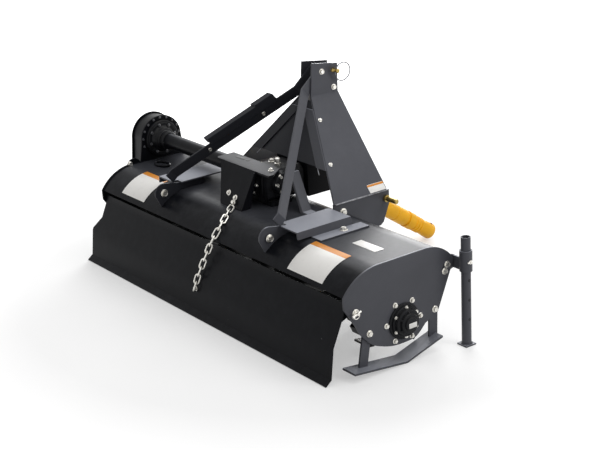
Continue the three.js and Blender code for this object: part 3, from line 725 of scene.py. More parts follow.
class Finish(Enum):
    """The finishes on the machine."""

    # Each paint's last number is the strength of its painted sheen on flat tops.
    CHARCOAL = Paint("charcoal_paint", "505157", 0.38, painted_sheen=0.6)
    BLACK = Paint("black_enamel", "101115", 0.32, shine=0.07, painted_sheen=0.09)
    # a darker copy of the charcoal paint: painted shade for parts seen on their shaded side
    SOOT = Paint("charcoal_painted_shade", "2c2d32", 0.36, shine=0.12, painted_sheen=0.3)
    CAST = Casting("cast_black", "121316", shine=0.16)
    ZINC = Plated("bright_zinc", "f4f2ec", "cfccc4", 0.28)
    GOLD = Plated("yellow_zinc", "bfa866", "8a7744", 0.3)
    STEEL = Plated("turned_steel", "8a8b8f", "4c4c50", 0.36)
    YELLOW = Moulded("yellow_guard", "fbb812", 0.42)
    # flat dark colour painted as the shade inside holes and slots
    DARK = Moulded("hole_painted_shade", "202124", 0.55)
    RED = Moulded("red_tag", "7a2420", 0.4)
    WHITE = Film("label_white", "f7f5f1")
    ORANGE = Film("label_orange", "df8c20")

    def stuff(self) -> bpy.types.Material:
        """The finish's material, made the first time it is asked for."""
        known = bpy.data.materials.get(self.value.name)
        return known if known else self.value.material()


def shown(name: str, data: bpy.types.ID) -> bpy.types.Object:
    """A new object in the scene, at the origin."""
    made = bpy.data.objects.new(name, data)
    bpy.context.scene.collection.objects.link(made)
    return made


def piece(name: str, skin: Skin, finish: Finish, body: Body = Body.ROOT, ride: bool = True) -> bpy.types.Object:
    """Puts a skin in the scene as a piece of the machine.

    Args:
        name: the piece's name.
        skin: its surface, in millimetres.
        finish: its finish.
        body: what it rides on.
        ride: whether it rides on the body, or is left free.

    Returns:
        The object, at the origin, its place in its mesh.
    """
    mesh = bpy.data.meshes.new(name)
    faces = skin.quads.tolist() + [cap.tolist() for cap in skin.caps]
    mesh.from_pydata(YARD.metres(skin.points).tolist(), [], faces)
    work = bmesh.new()
    work.from_mesh(mesh)
    bmesh.ops.remove_doubles(work, verts=work.verts, dist=1e-6)
    bmesh.ops.recalc_face_normals(work, faces=work.faces)
    work.to_mesh(mesh)
    work.free()
    mesh.polygons.foreach_set("use_smooth", np.ones(len(mesh.polygons), bool))
    mesh.set_sharp_from_angle(angle=math.radians(CRISP))
    mesh.materials.append(finish.stuff())
    made = shown(name, mesh)
    if ride:
        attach(made, body.value)
    log.info("%s: %d faces, %s on %s", name, len(mesh.polygons), finish.value.name, body.value)
    return made


def dress(node: str, finish: Finish, bevel: float = 1.2) -> None:
    """Gives a CAD node its finish, and its sharp edges a small round.

    Args:
        node: the node's name.
        finish: its finish.
        bevel: width of the round in millimetres, 0 for none.
    """
    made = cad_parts[node]
    mesh = made.data
    mesh.materials.clear()
    mesh.materials.append(finish.stuff())
    mesh.polygons.foreach_set("material_index", np.zeros(len(mesh.polygons), np.int32))
    mesh.polygons.foreach_set("use_smooth", np.ones(len(mesh.polygons), bool))
    weld = made.modifiers.new("weld", "WELD")
    weld.merge_threshold = 2e-5
    flat = made.modifiers.new("flat", "DECIMATE")
    flat.decimate_type = "DISSOLVE"
    flat.angle_limit = math.radians(0.5)
    if bevel:
        edge = made.modifiers.new("edge", "BEVEL")
        edge.width = bevel / 1000
        edge.segments = 2
        edge.limit_method = "ANGLE"
        edge.angle_limit = math.radians(CRISP)
        edge.miter_outer = "MITER_ARC"
        edge.harden_normals = False
    light = made.modifiers.new("light", "WEIGHTED_NORMAL")
    light.weight = 90
    light.keep_sharp = True
    log.info("%s: %s", node, finish.value.name)


# ---------------------------------------------------------------- sub-assemblies


@dataclass
class Sheeting:
    """Hood and side plates, with their labels, lugs and bolts."""

    deck_z: float = 412.0
    deck_rear: float = -110.0
    arc_r: float = 200.0
    right_x: float = 900.0
    left_x: float = -850.0
    label_t: float = 0.5
    head_share: float = 0.17  # of a label's height
    labels_at: tuple = (("right", 541, 756, 93, 140), ("left", -699, -512, 93, 138))  # edges in x, then degrees
    tag_at: Place = (719, -11, 0)
    eye_at: tuple[float, float] = (-734, -18)
    eye_half: tuple[float, float] = (44, 26)
    weld_r: float = 2.2
    weld_in: float = 9.5
    bolts_yz: tuple = ((-165, 158), (158, 160), (224, 325), (211, 300))  # skid legs, lug, stand bracket
    bolt: Bolt = Bolt(18, 7, 13.5, 2.2)

    def over_arc(self, start: float, end: float, lift: float, count: int = 16) -> Points:
        """Points over the hood's rear bend, (y, z) = centre + (R + lift) * (cos a, sin a)."""
        return bow((self.deck_rear, self.deck_z - self.arc_r), self.arc_r + lift, start, end, count)

    def draped(self, x0: float, x1: float, start: float, end: float, lift: float = 0.4) -> Skin:
        """A label on the hood's bend: a thin strip along the arc, carried from x0 to x1.

        Args:
            x0: left edge.
            x1: right edge.
            start: upper edge, in degrees round the bend.
            end: lower edge.
            lift: height of its lower face over the sheet.

        Returns:
            The label.
        """
        low = self.over_arc(start, end, lift)
        high = self.over_arc(start, end, lift + self.label_t)
        return plate(np.vstack([low, high[::-1]]), Along.X, x0, x1, 0.1)

    def labels(self) -> None:
        """Blank labels: two on the bend with an orange head, one white plate on the deck."""
        for name, x0, x1, start, end in self.labels_at:
            split = start + (end - start) * self.head_share
            piece(name + "_label_head", self.draped(x0, x1, start, split), Finish.ORANGE)
            piece(name + "_label_body", self.draped(x0, x1, split + 0.1, end), Finish.WHITE)
        tag = plate(slab_outline(134, 46, 4), Along.Z, self.deck_z + 0.3, self.deck_z + 0.9, 0.15)
        piece("deck_label", tag.shifted(*self.tag_at), Finish.WHITE)

    def eye(self) -> None:
        """Oval ring welded to the deck by the side drive."""
        angle = spokes(40)
        oval = np.array(self.eye_at) + np.stack([np.cos(angle), np.sin(angle)], axis=-1) * self.eye_half
        path = np.column_stack([oval, np.full(40, self.deck_z + 6)])
        piece("deck_ring", carried(path, circle(6, 12), UP, closed=True), Finish.BLACK)

    def seams(self) -> None:
        """Weld beads where the hood meets the side plates."""
        top = self.over_arc(92, 144, 1.0, 24)
        skins = []
        for x in (self.right_x - self.weld_in, self.left_x + self.weld_in):
            skins.append(bead(np.column_stack([np.full(len(top), x), top]), self.weld_r, RIGHT))
            flat = [(x, -105, self.deck_z + 1), (x, 108, self.deck_z + 1)]
            skins.append(bead(np.array(flat), self.weld_r, RIGHT))
        piece("hood_welds", gathered(skins), Finish.BLACK)

    def fasteners(self) -> None:
        """Bolts through both side plates, the left lug's bolt, and a dark plate of painted shade for the slot by the
        stand.
        """
        right, left = self.right_x, self.left_x
        piece("right_plate_bolts", self.bolt.row([(right, y, z) for y, z in self.bolts_yz], RIGHT), Finish.ZINC)
        piece("left_plate_bolts", self.bolt.row([(left, y, z) for y, z in self.bolts_yz[:3]], LEFT), Finish.ZINC)
        piece("left_lug_bolt", self.bolt.row([(left + 8.3, -126, 418)], RIGHT), Finish.ZINC)
        # dark plate painted as the shade inside the slot
        outline = np.vstack([bow((205, 312), 8, 90, 270, 8), [(205, 304), (209, 304), (209, 330), (205, 330)]])
        piece("stand_slot_shade", plate(outline, Along.X, right, right + 0.6, 0.1), Finish.DARK)

    def build(self) -> None:
        """Dresses the sheet nodes and adds everything on them."""
        dress("hood", Finish.BLACK, 1.5)
        dress("right_side_plate", Finish.CHARCOAL, 1.2)
        # the left side plate takes the black paint as painted shade for its shaded inner face; the right one is
        # charcoal
        dress("left_side_plate", Finish.BLACK, 1.2)
        self.labels()
        self.eye()
        self.seams()
        self.fasteners()


@dataclass
class RotorHub:
    """Bearing housing outside the right side plate."""

    x: float = 900.3
    axle_z: float = 160.0
    cover: Profile = ((0, 71), (5, 72), (7, 70), (8, 64), (14, 63), (16, 61), (17, 56), (27, 54), (30, 51), (31, 41),
                      (38, 40), (41, 37), (42, 28), (47, 27), (49, 24), (49.4, 8))
    rib: Profile = ((7, 68), (7, 40), (40, 36), (40, 39), (20, 58))
    rib_half: float = 3.0
    bolt_circle: float = 83.0
    cap_circle: float = 58.0
    cap_seat: float = 16.5
    bolt: Bolt = Bolt(15, 6, 11, 2.0, 4)
    cap_bolt: Bolt = Bolt(10, 4, 7, 1.2)

    def build(self) -> None:
        """Stepped cover with ribs, its ring of zinc bolts and a blank plate."""
        at = np.array([self.x, 0.0, self.axle_z])
        skins = [turned(at, RIGHT, self.cover, 64)]
        rib = plate(np.array(self.rib), Along.Z, -self.rib_half, self.rib_half, 1.0)
        for a in np.radians(30 + 60 * np.arange(6)):
            axes = np.array([[1, 0, 0], [0, math.cos(a), math.sin(a)], [0, -math.sin(a), math.cos(a)]])
            skins.append(rib.placed(at, axes))
        made = piece("hub_cover", gathered(skins), Finish.CAST)
        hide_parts("bearing_hub")
        piece("hub_bolts", self.bolt.ring(at, RIGHT, self.bolt_circle, 6, -2), Finish.ZINC)
        seat = at + np.array([self.cap_seat, 0, 0])
        piece("hub_cap_bolts", self.cap_bolt.ring(seat, RIGHT, self.cap_circle, 6, 28), Finish.ZINC)
        tag = plate(slab_outline(38, 20, 2), Along.X, 0, 0.8, 0.2)
        piece("hub_label", tag.shifted(self.x + 49.4, 4, self.axle_z - 4), Finish.WHITE)


@dataclass
class SideDrive:
    """Chain case on the left, its flange and the cross tube to the gearbox."""

    y: float = 52.0
    z: float = 505.0
    axle_z: float = 160.0
    plate_x: float = -842.0
    outer_x: float = -929.0
    tube_x0: float = -793.4
    flange: Profile = ((0, 84), (9, 84), (11, 82), (12, 78), (12, 74), (14, 72), (14, 60), (16, 57), (24, 52), (34, 50),
                       (37, 47), (38, 44), (46, 42), (47.7, 40))
    collar: Profile = ((0, 39), (3, 41), (20, 41), (24, 38), (25, 35))
    clamp: Profile = ((0, 35), (1, 38), (18, 38), (19, 35))
    dome_circle: float = 97.0
    rim_r: tuple[float, float] = (96.0, 82.0)  # the cover's bolts round its upper and lower end
    small: Bolt = Bolt(8, 3.5, 6, 1.0)
    big: Bolt = Bolt(10, 4, 7, 1.2)

    def arc(self, x: float, middle: tuple[float, float], radius: float, angles: Points) -> list[Place]:
        """Places round a circle across the machine, (y, z) = middle + radius * (cos a, sin a)."""
        y, z = middle
        return [(x, y + radius * math.cos(a), z + radius * math.sin(a)) for a in np.radians(angles)]

    def build(self) -> None:
        """Flange with its two bolt rings, cover bolts and plug."""
        dress("side_drive_case", Finish.CAST, 1.5)
        for node in ("side_drive_cover", "cross_tube"):
            dress(node, Finish.BLACK, 1.5)
        at = np.array([self.plate_x + 0.3, self.y, self.z])
        made = piece("drive_flange_casting", turned(at, RIGHT, self.flange, 64), Finish.CAST)
        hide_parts("drive_flange")
        piece("flange_bolts", self.big.ring(at + np.array([14, 0, 0]), RIGHT, 66, 8, 12), Finish.STEEL)
        head, foot = (self.y, self.z), (0.0, self.axle_z)
        dome = self.arc(self.plate_x + 0.2, head, self.dome_circle, np.linspace(-14, 194, 11))
        piece("dome_bolts", self.small.row(dome, RIGHT), Finish.STEEL)
        rim = self.arc(self.outer_x, head, self.rim_r[0], np.linspace(0, 180, 7))
        rim += self.arc(self.outer_x, foot, self.rim_r[1], np.linspace(195, 345, 6))
        rim += [(self.outer_x, 84, 330), (self.outer_x, -72, 330)]
        piece("cover_bolts", self.small.row(rim, LEFT), Finish.ZINC)
        plug = turned((self.outer_x, 20, 240), LEFT, [(0, 20), (3, 20), (4, 18), (5, 14)], 32)
        plug = plug + Bolt(17, 7, 12, 1.0).skin(np.array([self.outer_x - 4, 20, 240]), LEFT)
        piece("level_plug", plug, Finish.ZINC)
        collar = turned((self.tube_x0 + 3, self.y, self.z), RIGHT, self.collar, 48)
        clamp = turned((self.tube_x0 + 560, self.y, self.z), RIGHT, self.clamp, 48)
        piece("tube_collars", collar + clamp, Finish.CAST)


@dataclass
class Gearbox:
    """Gearbox with its carrier."""

    high: float = 556.0
    rear: float = -20.0
    front: float = 168.0
    left: float = -78.0
    right: float = 92.0
    rear_ribs: tuple = (-50.0, -8.0, 34.0, 66.0)  # their middles in x
    right_ribs: tuple = (20.0, 84.0, 140.0)  # their middles in y
    rib_half: float = 3.0
    shaft_z: float = 500.0
    side_yz: tuple[float, float] = (52.0, 505.0)
    rear_cover: Profile = ((0, 47), (5, 47), (7, 45), (8, 32), (12, 30), (13, 24))
    side_cover: Profile = ((0, 45), (4, 45), (6, 43), (7, 28), (12, 26), (13, 20))
    vent: Profile = ((0, 13), (8, 13), (9, 9), (18, 9), (19, 12), (27, 12), (30, 9))
    bolt: Bolt = Bolt(13, 6, 10, 1.8)

    def castings(self) -> None:
        """Ribs on the rear and right faces, and the two turned covers."""
        y, x, half = self.rear, self.right, self.rib_half
        rear = np.array([(y - 2, 440), (y - 9, 470), (y - 9, 530), (y - 2, 546), (y + 6, 546), (y + 6, 440)])
        right = np.array([(x - 2, 446), (x + 8, 470), (x + 8, 486), (x - 2, 520)])
        skins = [plate(rear, Along.X, at - half, at + half, 1.2) for at in self.rear_ribs]
        skins += [plate(right, Along.Y, at - half, at + half, 1.0) for at in self.right_ribs]
        skins.append(turned((0, y - 10, self.shaft_z), REAR, self.rear_cover, 48))
        skins.append(turned((x + 16, *self.side_yz), RIGHT, self.side_cover, 48))
        piece("gearbox_covers", gathered(skins), Finish.CAST)

    def fasteners(self) -> None:
        """Rings of bolts on four faces, the breather and the carrier's bolt."""
        ring = self.bolt.ring
        bolts = [
            ring((0, self.rear - 15, self.shaft_z), REAR, 39, 6),
            ring((self.right + 20, *self.side_yz), RIGHT, 36, 6),
            ring((0, self.front + 10, self.shaft_z), FRONT, 52, 6),
            ring((self.left - 10, *self.side_yz), LEFT, 44, 6, 15),
        ]
        piece("gearbox_bolts", gathered(bolts), Finish.ZINC)
        vent = turned((20, 90, self.high), UP, self.vent, 24)
        piece("breather", vent + Bolt(19, 8, 15, 2).skin(np.array([-36.0, 100.0, self.high]), UP), Finish.ZINC)

    def carrier(self) -> None:
        """The bolt, and dark plates of painted shade for the slot and hole on the carrier's top."""
        top = self.high + 8.3
        piece("carrier_top_bolts", Bolt(15, 7, 12, 2.2, 4).row([(88, 6, top)], UP), Finish.ZINC)
        # dark plates painted as the shade inside the slot and the hole
        slot = plate(slab_outline(64, 16, 7.5), Along.Z, top - 0.2, top + 0.5, 0.1).shifted(-150, 20, 0)
        hole = plate(circle(11, 24), Along.Z, top - 0.2, top + 0.5, 0.1).shifted(-96, 22, 0)
        piece("carrier_slot_shades", slot + hole, Finish.DARK)

    def build(self) -> None:
        """Ribs, covers, bolts, breather and the carrier's top."""
        dress("gearbox", Finish.CAST, 4.0)
        dress("gearbox_bracket", Finish.BLACK, 1.5)
        self.castings()
        self.fasteners()
        self.carrier()


@dataclass
class Carrier:
    """Bolts on the gearbox carrier's sloping leg."""

    top: tuple[float, float] = (-48.3, 564.0)
    foot: tuple[float, float] = (-132.0, 406.0)
    bolts: tuple = ((-66.0, 118.0), (-14.0, 128.0))  # place in x and distance down the leg
    bolt: Bolt = Bolt(15, 6, 12, 2.0, 3)

    def build(self) -> None:
        """Two bolts low on the leg."""
        slope = unit(np.array([0, self.foot[0] - self.top[0], self.foot[1] - self.top[1]]))
        out = np.array([0.0, slope[2], -slope[1]])
        places = [np.array([x, *self.top]) + slope * s + out * 0.6 for x, s in self.bolts]
        piece("carrier_leg_bolts", self.bolt.row(places, out), Finish.ZINC)


def lynch_pin(at: Points, axis: Points, ring_r: float, wire: float, tilt: float) -> Skin:
    """A lynch pin: a stub through a shaft, and a round spring ring that folds over it.

    Args:
        at: middle of the stub.
        axis: the shaft's direction.
        ring_r: radius of the ring.
        wire: the ring's wire radius.
        tilt: turn of the ring about the shaft's axis, in degrees.

    Returns:
        The pin.
    """
    down = wheel(axis, np.radians([tilt]))[0]
    side = unit(np.cross(axis, down))
    stub = turned(at - down * 18, down, [(0, 3.4), (2, 4.5), (34, 4.5), (36, 7), (42, 7), (43, 5)], 16)
    angle = spokes(40)[:, None]
    centre = at + down * 22 - down * ring_r + unit(axis) * (wire + 3)
    path = centre + ring_r * (np.cos(angle) * down + np.sin(angle) * side)
    return stub + carried(path, circle(wire, 10), axis, closed=True)


@dataclass
class Headstock:
    """Mast, struts, hitch plates and pins."""

    mast_half: float = 38.0
    hitch_x: float = 358.0
    bracket_x: float = 384.0
    plate_t: float = 8.3  # a hitch plate and its clearance
    heads_yz: tuple = ((327, 910), (387, 834))
    top_pin: tuple[float, float] = (390.0, 906.0)
    top_ring: float = 39.0
    pin_stub: Profile = ((0, 3.5), (2, 5), (32, 5), (34, 6.5), (41, 6.5), (42, 4))
    slope_top: tuple[float, float] = (38.0, 814.0)
    slope_foot: tuple[float, float] = (360.4, 455.3)
    shield_bolts: tuple = ((112, 251), (245, 192))  # x and y on the slope
    lip: Profile = ((352, 451), (364, 451), (366, 453), (366, 455), (364, 456.6), (352, 457))
    hem_z: tuple[float, float] = (745.0, 540.0)
    hem_r: float = 2.4
    strut_top: Place = (0.0, 332.0, 910.0)
    strut_foot: Place = (0.0, -232.0, 432.0)
    strut_bolts: tuple[float, float] = (261.0, 495.0)  # distances down the strut
    strut_lean: float = 0.675
    strut_x: float = 21.7
    strut_s: float = 116.0
    bolt: Bolt = Bolt(22, 9, 17, 2.6)
    head_bolt: Bolt = Bolt(17, 7, 12.5, 2.2)
    small: Bolt = Bolt(12, 5, 8.5, 1.6)

    def mast(self) -> None:
        """Head bolts and the top pin's ring."""
        dress("right_mast_side", Finish.CHARCOAL, 1.2)
        # left mast side in the darker charcoal: painted shade for its shaded inner face
        dress("left_mast_side", Finish.SOOT, 1.2)
        dress("top_hitch_pin", Finish.GOLD, 0.8)
        dress("mast_spacer", Finish.BLACK, 0.8)
        # rear panel also in the darker charcoal, as painted shade
        dress("mast_rear_panel", Finish.SOOT, 0.8)
        dress("input_shield", Finish.BLACK, 1.0)
        half = self.mast_half
        piece("head_bolts_right", self.head_bolt.row([(half, y, z) for y, z in self.heads_yz], RIGHT), Finish.ZINC)
        piece("head_bolts_left", self.head_bolt.row([(-half, y, z) for y, z in self.heads_yz], LEFT), Finish.ZINC)
        y, z = self.top_pin
        wide, a = self.top_ring, spokes(48)
        path = np.stack([58 + 3 * np.sin(a), y + 33 + wide * np.cos(a), z - 9 + wide * np.sin(a)], axis=-1)
        piece("top_pin_lynch", turned((56, y + 16, z - 4), (0, -1, 0.25), self.pin_stub, 16), Finish.GOLD)
        piece("top_pin_ring", carried(path, circle(2.8, 10), RIGHT, closed=True), Finish.STEEL)

    def shield_point(self, share: float, y: float, out: float) -> Points:
        """A place on the right mast side's slope: share 0 at the bend, 1 at its foot."""
        (x0, z0), (x1, z1) = self.slope_top, self.slope_foot
        slope = unit(np.array([x1 - x0, z1 - z0]))
        return np.array([x0 + (x1 - x0) * share - slope[1] * out, y, z0 + (z1 - z0) * share + slope[0] * out])

    def shield(self) -> None:
        """What is fixed to the sloping mast sides: bolts, a blank label, foot lips and bent hems, the lips and hems in
        bright steel as painted highlights along the edges.
        """
        low = unit(self.shield_point(1, 0, 0) - self.shield_point(0, 0, 0))
        out = np.array([-low[2], 0.0, low[0]])
        places = [self.shield_point((x - self.mast_half) / 320, y, 0.4) for x, y in self.shield_bolts]
        bolts = self.small.row(places, out)
        piece("shield_bolts_right", bolts, Finish.ZINC)
        piece("shield_bolts_left", bolts.mirrored(), Finish.ZINC)
        tag = plate(slab_outline(84, 38, 3), Along.Z, 0.4, 1.0, 0.15)
        axes = np.array([[0.0, 1.0, 0.0], low, out])
        middle = self.shield_point(0.955, 347, 0.0)
        piece("shield_label", tag.placed(middle, axes), Finish.WHITE)
        strip = plate(slab_outline(84, 9, 2), Along.Z, 1.05, 1.4, 0.1)
        piece("shield_label_stripe", strip.placed(middle - low * 13, axes), Finish.ORANGE)
        # lips in bright steel: a painted highlight along the mast sides' lower edges
        lip = plate(np.array(self.lip), Along.Y, 118, 398, 0.6)
        piece("mast_foot_highlight_lips", lip + lip.mirrored(), Finish.STEEL)
        # hems in bright steel: a painted highlight along the mast sides' rear edges
        ends = [[(784 - z) * 0.9022 - 1.5, 266 - (810 - z) * 0.4173 - 0.6, z] for z in self.hem_z]
        hem = carried(np.array(ends), circle(self.hem_r, 8), FRONT)
        piece("mast_hem_highlights", hem + hem.mirrored(), Finish.STEEL)

    def struts(self) -> None:
        """The struts and the box on one, with their bolts."""
        dress("right_strut", Finish.CHARCOAL, 1.0)
        # left strut in the darker charcoal: painted shade for its shaded side
        dress("left_strut", Finish.SOOT, 1.0)
        dress("strut_box", Finish.SOOT, 1.6)
        top = np.array(self.strut_top)
        down = unit(np.array(self.strut_foot) - top)
        foot = self.bracket_x + self.plate_t
        inner = self.bolt.row([(foot, -232, 414), (16.6 - foot, -232, 414)], RIGHT)
        piece("strut_foot_bolts", inner + self.bolt.row([(-foot, -232, 414)], LEFT), Finish.ZINC)
        face = unit(np.array([1.0, 0.0, 0.0]) + self.strut_lean * down)
        for k, s in enumerate(self.strut_bolts):
            at = top + down * s - np.array([self.strut_x + (s - self.strut_s) * self.strut_lean, 0, 0])
            piece("strut_bolt_%d" % (k + 1), self.small.skin(at, face), Finish.ZINC)

    def hitch(self) -> None:
        """Hitch plates, pins, deck beams and brackets, with their bolts."""
        outer = self.bolt.row([(self.hitch_x, 160, 413), (self.hitch_x, 155, 331)], RIGHT)
        bolts = outer + self.bolt.row([(532, 23, 418.5)], UP)
        # the left rear bracket takes the darker charcoal as painted shade for its shaded side
        for side, finish in (("right", Finish.CHARCOAL), ("left", Finish.SOOT)):
            dress(side + "_hitch_plate", Finish.CHARCOAL, 1.2)
            dress(side + "_hitch_pin", Finish.GOLD, 0.8)
            dress(side + "_deck_beam", Finish.CHARCOAL, 1.0)
            dress(side + "_rear_bracket", finish, 1.2)
            piece(side + "_hitch_bolts", bolts if side == "right" else bolts.mirrored(), Finish.ZINC)
        dress("right_brace", Finish.CHARCOAL, 1.2)

    def build(self) -> None:
        """Everything above the deck except the gearbox."""
        self.mast()
        self.shield()
        self.struts()
        self.hitch()


@dataclass
class FlapChain:
    """Round-link chain from the gearbox carrier to the flap."""

    wire: float = 3.6
    half_long: float = 22.6
    half_wide: float = 10.4
    pitch: float = 38.0
    first: float = 30.0
    last: float = 12.0  # left free at the lower end
    start_x: float = -6.0
    sway: float = 70.0
    hook: tuple[float, float] = (-124.8, 432.0)
    hanging: tuple = ((-303.0, 270.0), (-326.5, 190.0), (-337.5, 142.0), (-340.5, 114.0))
    sway_at: tuple = ((96, 102, 114, 126, 137, 146), (0.05, 0.2, 0.62, 0.91, 1.0, 0.97))
    hanging_sway: tuple = (0.66, 0.28, 0.05, -0.12)
    bolt: Bolt = Bolt(15, 7, 11, 2)

    def path(self) -> Points:
        """The chain's line: over the hood's rear bend, then down to the flap."""
        bend = bow((-110.0, 212.0), 211.0, 100, 146, 7)
        share = np.interp(np.linspace(100, 146, 7), *self.sway_at)
        yz = np.vstack([[self.hook], bend, self.hanging])
        share = np.concatenate([[0.0], share, self.hanging_sway])
        return np.column_stack([self.start_x + self.sway * share, yz])

    def link(self) -> Skin:
        """One link: a circle carried round an oval of two half circles and two straights."""
        wide, reach = self.half_wide, self.half_long - self.half_wide
        ends = np.vstack([bow((reach, 0), wide, -90, 90, 10), bow((-reach, 0), wide, 90, 270, 10)])
        path = np.column_stack([ends, np.zeros(len(ends))])
        return carried(path, circle(self.wire, 10), UP, closed=True)

    def build(self) -> None:
        """Links every `pitch` along the line, each turned a quarter from the last."""
        line = self.path()
        end = run_of(line)[-1] - self.last
        count = round((end - self.first) / self.pitch) + 1
        points = sampled(line, np.linspace(self.first, end, count))
        tangent = unit(np.gradient(points, axis=0))
        links = []
        for k in range(count):
            away = unit(np.cross(tangent[k], RIGHT))
            side = np.cross(away, tangent[k])
            turn = math.radians(45 if k % 2 else 135)
            first = math.cos(turn) * side + math.sin(turn) * away
            links.append(self.link().placed(points[k], np.array([tangent[k], first, np.cross(tangent[k], first)])))
        made = piece("flap_chain_links", gathered(links), Finish.ZINC, ride=False)
        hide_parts("flap_chain")
        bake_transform(made)
        piece("chain_bolt", self.bolt.skin(np.array([-15.0, -333.0, 112.0]), (0, -1, 0.07)), Finish.ZINC, Body.FLAP)
        piece("chain_hook", self.bolt.skin(np.array([-6.0, -124.0, 438.0]), (0, -1, 0.3)), Finish.ZINC)


@dataclass
class Flap:
    """Rear flap, its hinge rod and what holds it."""

    hinge_y: float = -227.0
    hinge_z: float = 260.0
    left: float = -816.0  # middles of the first and last barrel
    right: float = 866.0
    barrels: int = 6
    barrel_half: float = 22.0
    barrel: Profile = ((0, 7), (0, 10.5), (1, 11.5), (15, 11.5), (16, 10.5), (16, 7))
    disc: Profile = ((0, 15), (2, 15), (2.6, 14), (2.6, 7))

    def build(self) -> None:
        """The flap, its hinge barrels and the rod's pin and ring."""
        dress("rear_flap", Finish.BLACK, 1.5)
        dress("flap_rod", Finish.ZINC, 0.6)
        yz = (self.hinge_y, self.hinge_z)
        middles = np.linspace(self.left, self.right, self.barrels)
        barrels = [turned((x - self.barrel_half, *yz), RIGHT, self.barrel, 24) for x in middles]
        piece("hinge_barrels", gathered(barrels), Finish.BLACK, Body.FLAP)
        lynch = lynch_pin(np.array([912.0, *yz]), RIGHT, 14, 1.6, 200)
        piece("flap_rod_lynch", lynch + turned((900.2, *yz), RIGHT, self.disc, 32), Finish.ZINC)


@dataclass
class Skids:
    """Skids under both side plates."""

    legs_x: tuple[float, float] = (892.7, 842.7)  # right and left, the left one mirrored
    rear_bead: Profile = ((-212, 31), (-176, 27))
    front_bead: Profile = ((137, 48), (174, 57))
    bead_r: float = 2.6

    def build(self) -> None:
        """Paint and the weld beads at the legs' feet."""
        # the left skid and its welds take the black paint as painted shade for their shaded side; the right ones are
        # charcoal
        for side, x, finish in zip(("right", "left"), self.legs_x, (Finish.CHARCOAL, Finish.BLACK)):
            dress(side + "_skid", finish, 1.4)
            ends = (np.array([(x, y, z) for y, z in line]) for line in (self.rear_bead, self.front_bead))
            beads = gathered([bead(line, self.bead_r, RIGHT) for line in ends])
            piece(side + "_skid_welds", beads if side == "right" else beads.mirrored(), finish)


@dataclass
class Stand:
    """Parking stand in its sleeve."""

    x: float = 962.0
    y: float = 263.0
    pin_z: float = 346.0
    tube_r: float = 19.0
    hole_r: float = 6.5
    holes: tuple = (110.0, 190.0, 270.0)
    proud: float = 0.25
    knob: Profile = ((0, 8), (3, 8), (4, 5), (9, 5), (10, 3))
    handle: Profile = ((0, 2.5), (1, 3.2), (31, 3.2), (32, 2.5))

    def hole(self, z: float) -> Skin:
        """A pin hole's dark disc, painted shade for the hole, bent round the tube.

        A place at (rho, phi) on the flat disc goes to angle rho * cos(phi) / r round the tube and
        height z + rho * sin(phi), at radius r.

        Args:
            z: height of its middle.

        Returns:
            The disc, a little proud of the tube.
        """
        wide, proud = self.hole_r, self.proud
        rho, lift = np.array([(wide, -0.8), (wide, proud), (wide * 0.55, proud), (0.4, proud)]).T[..., None]
        turn, out = rho * np.cos(spokes(24)) / self.tube_r, self.tube_r + lift
        high = z + rho * np.sin(spokes(24))
        return woven(np.stack([self.x + out * np.cos(turn), self.y + out * np.sin(turn), high], axis=-1))

    def build(self) -> None:
        """Tube, sleeve, pull pin, dark discs of painted shade for the holes, and the foot's weld."""
        dress("stand_bracket", Finish.CHARCOAL, 1.0)
        dress("parking_stand", Finish.CHARCOAL, 0.8)
        knob = turned((self.x + 24, self.y, self.pin_z), RIGHT, self.knob, 20)
        handle = turned((self.x + 27, self.y - 16, self.pin_z), FRONT, self.handle, 12)
        piece("stand_pull_pin", knob + handle, Finish.ZINC)
        # dark discs painted as the shade inside the pin holes
        piece("stand_hole_shades", gathered([self.hole(z) for z in self.holes]), Finish.DARK, Body.STAND)
        seam = np.column_stack([circle(20.5, 40) + np.array([self.x, self.y]), np.full(40, 7.0)])
        piece("stand_foot_weld", carried(seam, circle(2.4, 8), UP, closed=True), Finish.CHARCOAL, Body.STAND)


